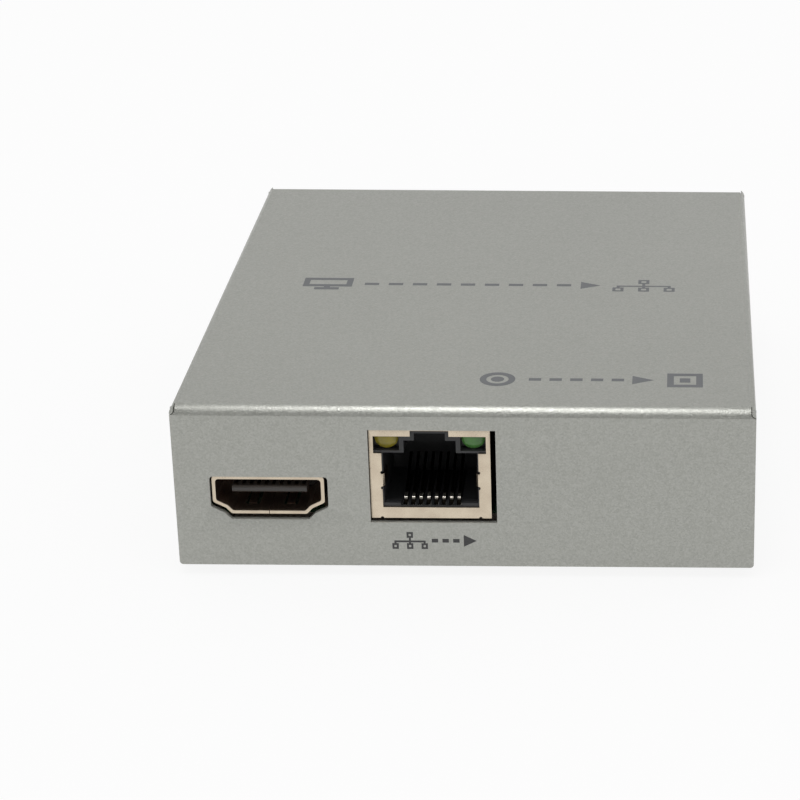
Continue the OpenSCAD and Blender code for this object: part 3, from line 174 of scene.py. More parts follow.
def emptied(owner: bpy.types.ID) -> Bench:
    """Clears a new material's or world's nodes.

    Args:
        owner: The material or world.

    Returns:
        The bench for its nodes.
    """
    owner.use_nodes = True
    owner.node_tree.nodes.clear()
    return Bench(owner.node_tree)


def new_group(name: str, inputs: dict[str, float],
              outputs: Sequence[str]) -> tuple[Bench, dict, bpy.types.Node]:
    """Starts a shader node group that reads a place on the surface.

    Args:
        name: The group's name.
        inputs: Its number inputs with their usual values, after the Place input.
        outputs: Its number outputs.

    Returns:
        The group's bench, its inputs by name, and its output node.
    """
    tree = bpy.data.node_groups.new(name, "ShaderNodeTree")
    tree.interface.new_socket("Place", in_out="INPUT", socket_type="NodeSocketVector")
    for socket, value in inputs.items():
        made = tree.interface.new_socket(socket, in_out="INPUT", socket_type="NodeSocketFloat")
        made.default_value = value
    for socket in outputs:
        tree.interface.new_socket(socket, in_out="OUTPUT", socket_type="NodeSocketFloat")
    entry = tree.nodes.new("NodeGroupInput")
    leave = tree.nodes.new("NodeGroupOutput")
    return Bench(tree), {socket.name: socket for socket in entry.outputs}, leave


class Effect(Enum):
    """Effects that several finishes share, each one node group."""

    GRAIN = "grain"
    STREAKS = "streaks"
    PATCHES = "patches"
    FLAKES = "flakes"

    def place(self, bench: Bench, place: bpy.types.NodeSocket, **values: float) -> bpy.types.Node:
        """Puts the effect's group into a material.

        Args:
            bench: The material's bench.
            place: The place on the surface, in millimetres.
            values: The group's inputs by name.

        Returns:
            The group's node.
        """
        tree = bpy.data.node_groups.get(self.value) or EFFECT_MAKERS[self]()
        node = bench.put("Group", node_tree=tree)
        bench.tree.links.new(place, node.inputs["Place"])
        for name, value in values.items():
            node.inputs[name.capitalize()].default_value = value
        return node


def noise_over(bench: Bench, place: SocketValue, size: SocketValue, *, detail: SocketValue,
               roughness: float) -> bpy.types.NodeSocket:
    """Makes soft random values over the surface.

    Args:
        bench: The group's bench.
        place: The place, in millimetres.
        size: Width of one grain.
        detail: How many finer layers lie over the grain.
        roughness: How strong each finer layer is.

    Returns:
        The noise's socket.
    """
    scale = bench.maths("DIVIDE", 1.0, size)
    noise = bench.put("TexNoise", {"Vector": place, "Scale": scale, "Detail": detail,
                                   "Roughness": roughness})
    return noise.outputs["Fac"]


def make_grain() -> bpy.types.NodeTree:
    """Makes a fine even grain of a given size, as on moulded plastic or powder paint.

    Returns:
        The group.
    """
    bench, given, leave = new_group(Effect.GRAIN.value, {"Size": 0.3, "Detail": 2.0}, ("Value", "Height"))
    noise = noise_over(bench, given["Place"], given["Size"], detail=given["Detail"], roughness=0.6)
    bench.tree.links.new(bench.span(noise, *NOISE_SPAN), leave.inputs["Value"])
    bench.tree.links.new(noise, leave.inputs["Height"])
    return bench.tree


def make_streaks() -> bpy.types.NodeTree:
    """Makes long fine lines along X, as drawing, plating or machining leaves them.

    Returns:
        The group.
    """
    bench, given, leave = new_group(Effect.STREAKS.value, {"Size": 0.1, "Stretch": 20.0},
                                    ("Value", "Height"))
    squeeze = bench.maths("DIVIDE", 1.0, given["Stretch"])
    scale = bench.put("CombineXYZ", {0: squeeze, 1: 1.0, 2: 1.0})
    drawn = bench.put("VectorMath", {0: given["Place"], 1: scale.outputs[0]}, operation="MULTIPLY")
    noise = noise_over(bench, drawn.outputs[0], given["Size"], detail=3.0, roughness=0.7)
    bench.tree.links.new(bench.span(noise, *NOISE_SPAN), leave.inputs["Value"])
    bench.tree.links.new(noise, leave.inputs["Height"])
    return bench.tree


def make_patches() -> bpy.types.NodeTree:
    """Makes wide soft patches, as handling and uneven coating leave them.

    Returns:
        The group.
    """
    bench, given, leave = new_group(Effect.PATCHES.value, {"Size": 15.0, "Edge": 0.2}, ("Value",))
    noise = noise_over(bench, given["Place"], given["Size"], detail=3.0, roughness=0.55)
    low = bench.maths("SUBTRACT", NOISE_MIDDLE, given["Edge"])
    high = bench.maths("ADD", NOISE_MIDDLE, given["Edge"])
    bench.tree.links.new(bench.span(noise, low, high), leave.inputs["Value"])
    return bench.tree


def make_flakes() -> bpy.types.NodeTree:
    """Makes tiny flakes that each lie a little differently, as in metallic paint.

    Returns:
        The group.
    """
    bench, given, leave = new_group(Effect.FLAKES.value, {"Size": 0.15}, ("Value", "Height"))
    cells = bench.put("TexVoronoi", {"Vector": given["Place"], "Randomness": 1.0,
                                     "Scale": bench.maths("DIVIDE", 1.0, given["Size"])})
    parts = bench.put("SeparateColor", {0: cells.outputs["Color"]})
    bench.tree.links.new(parts.outputs[0], leave.inputs["Value"])
    tilt = bench.maths("MULTIPLY", cells.outputs["Distance"], parts.outputs[1])
    bench.tree.links.new(tilt, leave.inputs["Height"])
    return bench.tree


EFFECT_MAKERS: dict[Effect, Callable[[], bpy.types.NodeTree]] = {
    Effect.GRAIN: make_grain,
    Effect.STREAKS: make_streaks,
    Effect.PATCHES: make_patches,
    Effect.FLAKES: make_flakes,
}


# Finishes


@dataclass(frozen=True)
class Finish:
    """A surface of one colour with soft patches of a second one and a fine texture.

    Sizes are in millimetres, and colours are linear.
    """

    name: str
    slot: Slot
    colour: Colour
    patch_colour: Colour
    metallic: float = 0.0
    roughness: tuple[float, float] = (0.4, 0.55)
    patch_size: float = 6.0
    texture: Effect = Effect.GRAIN
    texture_size: float = 0.15
    texture_depth: float = 0.01
    texture_tint: float = 0.1
    coat: float = 0.0

    def build(self) -> bpy.types.Material:
        """Makes the material.

        Returns:
            The material.
        """
        material = bpy.data.materials.new(self.name)
        bench = emptied(material)
        shader = bench.put("BsdfPrincipled", {"Metallic": self.metallic, "Coat Weight": self.coat})
        bench.put("OutputMaterial", {"Surface": shader.outputs[0]})
        place = bench.place_mm()
        texture = self.texture.place(bench, place, size=self.texture_size)
        patches = Effect.PATCHES.place(bench, place, size=self.patch_size)
        colour = bench.mix(patches.outputs["Value"], self.colour, self.patch_colour)
        colour = self.coloured(bench, place, colour)
        tint = bench.maths("MULTIPLY", texture.outputs["Value"], self.texture_tint)
        colour = bench.mix(tint, colour, WHITE)
        rough = bench.span(texture.outputs["Value"], 0.0, 1.0, *self.roughness)
        bump = bench.put("Bump", {"Height": texture.outputs["Height"], "Strength": 1.0,
                                  "Distance": self.texture_depth * MM})
        for name, socket in (("Base Color", colour), ("Roughness", rough), ("Normal", bump.outputs[0])):
            bench.tree.links.new(socket, shader.inputs[name])
        return material

    def coloured(self, bench: Bench, place: bpy.types.NodeSocket,
                 colour: bpy.types.NodeSocket) -> bpy.types.NodeSocket:
        """Returns the colour with what only this finish has; a plain finish adds nothing."""
        return colour


@dataclass(frozen=True)
class MetallicPaint(Finish):
    """Silver paint with fine flakes, and painted shade a little toward the cover's left.

    The painted shade fades out over left_shade_reach, from left to right in millimetres from the middle.
    """

    flake_colour: Colour = (0.55, 0.55, 0.52)
    flake_size: float = 0.2
    flake_share: float = 0.35
    # Painted shade toward the cover's left: its colour, its strength and its reach.
    left_shade_colour: Colour = (0.34, 0.345, 0.312)
    left_shade_share: float = 0.5
    left_shade_reach: Point2 = (-45.0, 15.0)

    def coloured(self, bench: Bench, place: bpy.types.NodeSocket,
                 colour: bpy.types.NodeSocket) -> bpy.types.NodeSocket:
        """Scatters fine flakes over the paint and paints shade over its left.

        Args:
            bench: The material's bench.
            place: The place on the surface, in millimetres.
            colour: The patched colour so far.

        Returns:
            The colour's socket.
        """
        flakes = Effect.FLAKES.place(bench, place, size=self.flake_size)
        bright = bench.maths("MULTIPLY", flakes.outputs["Value"], self.flake_share)
        # Painted shade: the paint is darkened toward the cover's left, where less light falls.
        across = bench.put("SeparateXYZ", {0: place}).outputs[0]
        left_shade = bench.span(across, *self.left_shade_reach, self.left_shade_share, 0.0)
        colour = bench.mix(left_shade, colour, self.left_shade_colour)
        return bench.mix(bright, colour, self.flake_colour)


@dataclass(frozen=True)
class RecessShadeFinish(Finish):
    """Plating with painted shade that darkens it further in behind the panel, where little light reaches.

    Depths are in millimetres behind the front panel's face.
    """

    # Painted shade further in behind the panel: its colour and the depths where it starts and is full.
    shade_colour: Colour = (0.12, 0.085, 0.06)
    shade_start_depth: float = 0.55
    shade_full_depth: float = 0.95

    def coloured(self, bench: Bench, place: bpy.types.NodeSocket,
                 colour: bpy.types.NodeSocket) -> bpy.types.NodeSocket:
        """Paints shade over the plating by its depth behind the panel.

        Args:
            bench: The material's bench.
            place: The place on the surface, in millimetres.
            colour: The patched colour so far.

        Returns:
            The colour's socket.
        """
        # Painted shade: the plating darkens further in behind the panel, where little light reaches it.
        back = bench.put("SeparateXYZ", {0: place}).outputs[1]
        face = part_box("top_cover")[0].y * PER_METRE
        shaded = bench.span(back, face + self.shade_start_depth, face + self.shade_full_depth)
        return bench.mix(shaded, colour, self.shade_colour)


@dataclass(frozen=True)
class HighlightedSpring(RecessShadeFinish):
    """Spring wire with a painted highlight over the top of its front bend, and painted shade below it.

    The bend lies within bend_depth of the wires' front. From its top down, the wire is painted bright for
    one highlight_height and fades into painted shade over a second one.
    """

    # Height of the painted highlight over the top of the bend.
    highlight_height: float = 0.18
    bend_depth: float = 1.0

    def coloured(self, bench: Bench, place: bpy.types.NodeSocket,
                 colour: bpy.types.NodeSocket) -> bpy.types.NodeSocket:
        """Paints the highlight over the bend's top and shade below it.

        Args:
            bench: The material's bench.
            place: The place on the surface, in millimetres.
            colour: The patched colour so far.

        Returns:
            The colour's socket.
        """
        points = [vert.co * PER_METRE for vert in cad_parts["rj45_contacts"].data.vertices]
        front = min(point.y for point in points)
        top = max(point.z for point in points if point.y < front + self.bend_depth)
        up = bench.put("SeparateXYZ", {0: place}).outputs[2]
        # Painted highlight over the top of the front bend, with painted shade below it.
        highlight = bench.span(up, top - 2 * self.highlight_height, top - self.highlight_height)
        colour = bench.mix(highlight, self.shade_colour, colour)
        return super().coloured(bench, place, colour)


@dataclass(frozen=True)
class LensFinish(Finish):
    """Tinted clear resin that glows a little where light passes through it."""

    clearness: float = 0.35
    refraction: float = 1.5

    def build(self) -> bpy.types.Material:
        """Makes the material.

        Returns:
            The material.
        """
        material = super().build()
        shader = next(node for node in material.node_tree.nodes if node.type == "BSDF_PRINCIPLED")
        shader.inputs["Transmission Weight"].default_value = self.clearness
        shader.inputs["IOR"].default_value = self.refraction
        return material


@dataclass(frozen=True)
class BoardFinish(Finish):
    """Green solder mask over copper tracks, with the bare laminate at the board's edges.

    A track's side lies at track_edge of a cell's width, and a face is masked from masked_tilt on, the
    share of it that looks up or down.
    """

    track_colour: Colour = (0.03, 0.13, 0.05)
    track_step: float = 1.3
    track_unevenness: float = 0.7
    track_edge: Point2 = (0.36, 0.4)
    laminate_colour: Colour = (0.05, 0.034, 0.02)
    masked_tilt: Point2 = (0.4, 0.6)

    def coloured(self, bench: Bench, place: bpy.types.NodeSocket,
                 colour: bpy.types.NodeSocket) -> bpy.types.NodeSocket:
        """Shows the tracks as lighter right-angled bands under the mask.

        Args:
            bench: The material's bench.
            place: The place on the surface, in millimetres.
            colour: The patched colour so far.

        Returns:
            The colour's socket.
        """
        cells = bench.put("TexVoronoi", {"Vector": place, "Scale": 1.0 / self.track_step,
                                         "Randomness": self.track_unevenness},
                          distance="CHEBYCHEV", feature="F1")
        near = bench.span(cells.outputs["Distance"], *self.track_edge)
        upright = bench.put("SeparateXYZ", {0: bench.put("TexCoord").outputs["Normal"]}).outputs[2]
        masked = bench.span(bench.maths("ABSOLUTE", upright), *self.masked_tilt)
        return bench.mix(masked, self.laminate_colour, bench.mix(near, colour, self.track_colour))


# The silver paint carries painted shade toward the cover's left.
CASE_PAINT = MetallicPaint(
    "case_paint_silver", Slot.CASE_PAINT, (0.36, 0.365, 0.333), (0.34, 0.345, 0.314), metallic=0.5,
    roughness=(0.3, 0.46), patch_size=40.0, texture=Effect.FLAKES, texture_size=0.3, texture_depth=0.03,
    texture_tint=0.02)
ZINC = Finish(
    "zinc_plated_steel", Slot.SCREW_STEEL, (0.5, 0.5, 0.48), (0.4, 0.4, 0.39), metallic=1.0,
    roughness=(0.25, 0.4), texture=Effect.STREAKS, texture_size=0.05, texture_depth=0.004)
FOOT_RUBBER = Finish(
    "foot_rubber", Slot.FOOT_RUBBER, (0.02, 0.02, 0.021), (0.03, 0.03, 0.03), roughness=(0.7, 0.9),
    texture_size=0.25, texture_depth=0.03)
TURNED_BRASS = Finish(
    "turned_brass", Slot.SPACER_BRASS, (0.62, 0.46, 0.2), (0.5, 0.36, 0.15), metallic=1.0,
    roughness=(0.22, 0.38), texture=Effect.STREAKS, texture_size=0.06, texture_depth=0.003)
SOLDER_MASK = BoardFinish(
    "solder_mask", Slot.BOARD_LAMINATE, (0.008, 0.06, 0.025), (0.012, 0.075, 0.03),
    roughness=(0.25, 0.35), texture_size=0.3, texture_depth=0.004, coat=0.3)
# The plated shield and shell darken into painted shade further in behind the panel.
WARM_NICKEL = RecessShadeFinish(
    "warm_nickel", Slot.PLATED_STEEL, (0.66, 0.57, 0.44), (0.55, 0.46, 0.35), metallic=1.0,
    roughness=(0.24, 0.4), patch_size=2.5, texture_size=0.12, texture_depth=0.006, texture_tint=0.05)
SHELL_NICKEL = replace(WARM_NICKEL, name="shell_nickel", shade_colour=(0.5, 0.36, 0.28))
SOCKET_PLASTIC = Finish(
    "socket_plastic", Slot.SOCKET_BLACK, (0.012, 0.012, 0.013), (0.02, 0.02, 0.021),
    roughness=(0.35, 0.5), texture_size=0.1, texture_depth=0.004, texture_tint=0.01)
TONGUE_PLASTIC = replace(
    SOCKET_PLASTIC, name="tongue_plastic", colour=(0.03, 0.027, 0.023), patch_colour=(0.038, 0.034, 0.03),
    texture_tint=0.02)
GOLD_FLASH = Finish(
    "gold_flash", Slot.CONTACT_GOLD, (0.78, 0.57, 0.24), (0.7, 0.5, 0.2), metallic=1.0,
    roughness=(0.18, 0.3), texture=Effect.STREAKS, texture_size=0.04, texture_depth=0.001)
# The near-white colour is a painted highlight over the wires' bend, and the dark colour below and behind it
# is painted shade.
SPRING_GOLD = HighlightedSpring(
    "spring_gold", Slot.CONTACT_GOLD, (0.92, 0.88, 0.78), (0.86, 0.8, 0.7), metallic=1.0,
    roughness=(0.2, 0.34), texture=Effect.STREAKS, texture_size=0.04, texture_depth=0.001,
    texture_tint=0.0, shade_colour=(0.03, 0.025, 0.018), shade_start_depth=2.9, shade_full_depth=3.5)
# The contact strips darken into painted shade further in behind the panel.
STRIP_GOLD = RecessShadeFinish(
    "strip_gold", Slot.CONTACT_GOLD, (0.5, 0.38, 0.2), (0.4, 0.3, 0.15), metallic=1.0,
    roughness=(0.2, 0.34), texture=Effect.STREAKS, texture_size=0.04, texture_depth=0.001,
    texture_tint=0.0, shade_colour=(0.045, 0.036, 0.025))
YELLOW_RESIN = LensFinish(
    "yellow_resin", Slot.LENS_YELLOW, (0.36, 0.29, 0.01), (0.24, 0.2, 0.02), roughness=(0.12, 0.2),
    patch_size=1.5, texture_size=0.3, texture_depth=0.002, texture_tint=0.02)
GREEN_RESIN = replace(
    YELLOW_RESIN, name="green_resin", slot=Slot.LENS_GREEN, colour=(0.09, 0.3, 0.045),
    patch_colour=(0.06, 0.2, 0.04))
RED_RESIN = LensFinish(
    "red_resin", Slot.LENS_RED, (0.55, 0.05, 0.03), (0.45, 0.04, 0.03), roughness=(0.08, 0.16),
    patch_size=1.5, texture_size=0.3, texture_depth=0.002)
TIN = Finish(
    "tinned_metal", Slot.TINNED_WIRE, (0.62, 0.62, 0.6), (0.52, 0.52, 0.5), metallic=1.0,
    roughness=(0.25, 0.42), patch_size=1.2, texture_size=0.12, texture_depth=0.003)
CHIP_RESIN = Finish(
    "chip_resin", Slot.CHIP_BLACK, (0.018, 0.018, 0.02), (0.03, 0.03, 0.032), roughness=(0.5, 0.65),
    texture_size=0.12, texture_depth=0.008, texture_tint=0.02)
CHIP_SUBSTRATE = Finish(
    "chip_substrate", Slot.CHIP_SUBSTRATE, (0.03, 0.05, 0.035), (0.04, 0.06, 0.045),
    roughness=(0.35, 0.5), texture_size=0.2, texture_depth=0.004, texture_tint=0.03)
SOFT_PAD = Finish(
    "soft_pad", Slot.PAD_GREY, (0.45, 0.45, 0.5), (0.38, 0.38, 0.43), roughness=(0.7, 0.85),
    texture_size=0.3, texture_depth=0.02)
ALUMINIUM = Finish(
    "satin_aluminium", Slot.SINK_ALUMINIUM, (0.72, 0.73, 0.74), (0.64, 0.65, 0.66), metallic=1.0,
    roughness=(0.3, 0.48), texture=Effect.STREAKS, texture_size=0.08, texture_depth=0.004)
FERRITE = Finish(
    "ferrite", Slot.FERRITE_GREY, (0.07, 0.07, 0.075), (0.1, 0.1, 0.1), roughness=(0.55, 0.75),
    texture_size=0.2, texture_depth=0.02, texture_tint=0.04)
CERAMIC = Finish(
    "fired_ceramic", Slot.CERAMIC_TAN, (0.42, 0.29, 0.17), (0.36, 0.24, 0.13), roughness=(0.35, 0.5),
    patch_size=0.8, texture_size=0.15, texture_depth=0.004)
GREY_INK = Finish(
    "grey_ink", Slot.CASE_PAINT, (0.115, 0.12, 0.127), (0.1, 0.105, 0.11), roughness=(0.45, 0.6),
    patch_size=8.0, texture_size=0.25, texture_depth=0.006, texture_tint=0.04)
BLACK_INK = replace(
    GREY_INK, name="black_ink", colour=(0.03, 0.03, 0.031), patch_colour=(0.04, 0.04, 0.041),
    texture_tint=0.02)
LEGEND_INK = Finish(
    "legend_ink", Slot.BOARD_LAMINATE, (0.75, 0.75, 0.72), (0.65, 0.65, 0.62), roughness=(0.5, 0.65),
    texture_size=0.2, texture_depth=0.006)


class Paintbox:
    """Hands out each finish's material, built once."""

    def __init__(self) -> None:
        """Starts with no material built."""
        self.built: dict[str, bpy.types.Material] = {}

    def material(self, finish: Finish) -> bpy.types.Material:
        """Builds a finish's material the first time that it is asked for.

        Args:
            finish: The finish.

        Returns:
            Its material.
        """
        if finish.name not in self.built:
            self.built[finish.name] = finish.build()
        return self.built[finish.name]

    def dress(self, thing: bpy.types.Object, finish: Finish) -> None:
        """Gives an object one finish all over.

        Args:
            thing: A CAD node or a piece of this scene.
            finish: What it is coated with.
        """
        thing.data.materials.clear()
        thing.data.materials.append(self.material(finish))
        log.info("%s in %s", thing.name, finish.name)


# Shared ways of making pieces


def finished(thing: bpy.types.Object, finish: Finish, body: Body, paint: Paintbox) -> bpy.types.Object:
    """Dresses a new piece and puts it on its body.

    Args:
        thing: The new piece.
        finish: Its finish.
        body: The body that it moves with.
        paint: The materials.

    Returns:
        The same piece.
    """
    paint.dress(thing, finish)
    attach(thing, body.value)
    return thing


def link_mesh(name: str, shape: bmesh.types.BMesh, smooth_below: float) -> bpy.types.Object:
    """Turns a finished shape into an object.

    Args:
        name: The object's name.
        shape: The shape, which is freed here.
        smooth_below: Faces that meet below this angle, in degrees, shade as one surface.

    Returns:
        The object, linked to the scene.
    """
    limit = math.radians(smooth_below)
    for edge in shape.edges:
        edge.smooth = len(edge.link_faces) == 2 and edge.calc_face_angle(math.pi) < limit
    for face in shape.faces:
        face.smooth = True
    mesh = bpy.data.meshes.new(name)
    shape.to_mesh(mesh)
    shape.free()
    thing = bpy.data.objects.new(name, mesh)
    bpy.context.scene.collection.objects.link(thing)
    return thing


# Points nearer than this, in millimetres, are one, and so are faces that meet below this angle, in degrees.
SAME_POINT = 0.0005
FLAT_ANGLE = 0.5
# A rounded edge has this many steps and this fullness, and larger faces beside it are cut into triangles.
ROUND_STEPS = 2
ROUND_FULLNESS = 0.5
LARGEST_FACE = 4


def softened(node: str, edge_r: float, sharp_from: float = 35.0) -> bpy.types.Object:
    """Copies a CAD node with its sharp edges rounded, as tools and plating leave them.

    Args:
        node: The CAD node's name.
        edge_r: Width of the rounding.
        sharp_from: Edges whose faces meet at this angle or more, in degrees, are rounded.

    Returns:
        The copy, which stands for the node.
    """
    shape = bmesh.new()
    shape.from_mesh(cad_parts[node].data)
    bmesh.ops.remove_doubles(shape, verts=shape.verts, dist=SAME_POINT * MM)
    bmesh.ops.dissolve_limit(shape, angle_limit=math.radians(FLAT_ANGLE), verts=shape.verts,
                             edges=shape.edges)
    sharp = [edge for edge in shape.edges
             if len(edge.link_faces) == 2 and edge.calc_face_angle(0.0) > math.radians(sharp_from)]
    bmesh.ops.bevel(shape, geom=sharp, offset=edge_r * MM, offset_type="OFFSET", segments=ROUND_STEPS,
                    profile=ROUND_FULLNESS, affect="EDGES", clamp_overlap=True)
    bmesh.ops.triangulate(shape, faces=[face for face in shape.faces if len(face.verts) > LARGEST_FACE])
    thing = link_mesh(f"{node}_finished", shape, sharp_from)
    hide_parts(node)
    return thing


class Stencil:
    """Flat shapes of ink, drawn in millimetres along two directions of a surface."""

    def __init__(self, origin: Vector, across: Vector, up: Vector, thickness: float) -> None:
        """Takes the surface that the ink lies on.

        Args:
            origin: Where the drawing's zero lies, in metres.
            across: Direction of the drawing's first coordinate.
            up: Direction of its second coordinate.
            thickness: Thickness of the ink.
        """
        self.origin = origin
        self.across = across
        self.up = up
        self.out = across.cross(up)
        self.thickness = thickness
        self.shape = bmesh.new()

    def lift(self, point: Point2, height: float) -> bmesh.types.BMVert:
        """The vertex at a point of the drawing, that far above the surface."""
        place = point[0] * self.across + point[1] * self.up + height * self.out
        return self.shape.verts.new(self.origin + place * MM)

    def loop(self, points: Sequence[Point2], height: float) -> list[bmesh.types.BMVert]:
        """The vertices of an outline, that far above the surface."""
        return [self.lift(point, height) for point in points]

    def walls(self, low: list[bmesh.types.BMVert], high: list[bmesh.types.BMVert]) -> None:
        """Joins two loops of as many vertices by faces.

        Args:
            low: The first loop.
            high: The second loop.
        """
        for i in range(len(low)):
            j = (i + 1) % len(low)
            self.shape.faces.new((low[i], low[j], high[j], high[i]))

    def patch(self, points: Sequence[Point2]) -> None:
        """Inks the inside of an outline.

        Args:
            points: The outline, anticlockwise.
        """
        low, high = self.loop(points, 0.0), self.loop(points, self.thickness)
        self.walls(low, high)
        self.shape.faces.new(high)
        self.shape.faces.new(list(reversed(low)))

    def band(self, outer: Sequence[Point2], inner: Sequence[Point2]) -> None:
        """Inks the band between two outlines of as many points.

        Args:
            outer: The outer outline, anticlockwise.
            inner: The inner outline, anticlockwise.
        """
        out_low, out_high = self.loop(outer, 0.0), self.loop(outer, self.thickness)
        in_low, in_high = self.loop(inner, 0.0), self.loop(inner, self.thickness)
        self.walls(out_low, out_high)
        self.walls(list(reversed(in_low)), list(reversed(in_high)))
        self.walls(out_high, in_high)
        self.walls(list(reversed(out_low)), list(reversed(in_low)))

    def bar(self, x: float, y: float, width: float, height: float) -> None:
        """Inks a rectangle from its lower left corner."""
        self.patch(box_points(x, y, width, height))

    def box(self, x: float, y: float, width: float, height: float, line: float) -> None:
        """Inks a rectangle's outline."""
        self.band(box_points(x, y, width, height),
                  box_points(x + line, y + line, width - 2 * line, height - 2 * line))

    def dot(self, x: float, y: float, r: float) -> None:
        """Inks a disc."""
        self.patch(circle_points(x, y, r))

    def ring(self, x: float, y: float, r: float, line: float) -> None:
        """Inks a circle's outline."""
        self.band(circle_points(x, y, r), circle_points(x, y, r - line))

    def arrow_head(self, x: float, y: float, length: float, width: float) -> None:
        """Inks a triangle that points right, its tip at x + length."""
        self.patch([(x, y - width / 2), (x + length, y), (x, y + width / 2)])

    def piece(self, name: str, finish: Finish, paint: Paintbox) -> bpy.types.Object:
        """Ends the drawing and makes it a piece of the case."""
        bmesh.ops.recalc_face_normals(self.shape, faces=self.shape.faces)
        return finished(link_mesh(name, self.shape, SMOOTH_BELOW), finish, Body.CASE, paint)


def box_points(x: float, y: float, width: float, height: float) -> list[Point2]:
    """A rectangle's corners, anticlockwise from the lower left."""
    return [(x, y), (x + width, y), (x + width, y + height), (x, y + height)]


def circle_points(x: float, y: float, r: float, count: int = 32) -> list[Point2]:
    """Points round a circle, anticlockwise."""
    turns = [2 * math.pi * i / count for i in range(count)]
    return [(x + r * math.cos(turn), y + r * math.sin(turn)) for turn in turns]


def islands(node: str) -> list[tuple[Vector, Vector]]:
    """Finds the boxes of a CAD node's separate solids.

    Args:
        node: The CAD node's name.

    Returns:
        Each box's lowest and highest corner, in metres.
    """
    shape = bmesh.new()
    shape.from_mesh(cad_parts[node].data)
    bmesh.ops.remove_doubles(shape, verts=shape.verts, dist=SAME_POINT * MM)
    left = set(shape.verts)
    boxes = []
    while left:
        front = [left.pop()]
        group = list(front)
        while front:
            reached = {edge.other_vert(vert) for vert in front for edge in vert.link_edges} & left
            left -= reached
            group.extend(reached)
            front = list(reached)
        low, high = (Vector(pick(vert.co[axis] for vert in group) for axis in range(3))
                     for pick in (min, max))
        boxes.append((low, high))
    shape.free()
    return sorted(boxes, key=lambda pair: tuple(pair[0]))


# The object


@dataclass
class Case:
    """The folded cover, the base plate, their screws and the feet."""

    cover_edge_r: float = 0.09
    plate_edge_r: float = 0.08
    screw_edge_r: float = 0.06
    foot_edge_r: float = 0.35

    def __post_init__(self) -> None:
        """Reads the cover's box, from whose front lower left corner places are given."""
        low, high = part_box("top_cover")
        self.low = low
        self.size = (high - low) / MM

    def at(self, x: float, y: float, z: float) -> Vector:
        """The place x right, y back and z up from the cover's front lower left corner, in metres."""
        return self.low + Vector((x, y, z)) * MM

    def build(self, paint: Paintbox) -> None:
        """Rounds and dresses the case's pieces.

        Args:
            paint: The materials.
        """
        for node, edge_r, finish in (
            ("top_cover", self.cover_edge_r, CASE_PAINT),
            ("bottom_plate", self.plate_edge_r, CASE_PAINT),
            ("case_screws", self.screw_edge_r, ZINC),
            ("rubber_feet", self.foot_edge_r, FOOT_RUBBER),
        ):
            finished(softened(node, edge_r), finish, Body.CASE, paint)


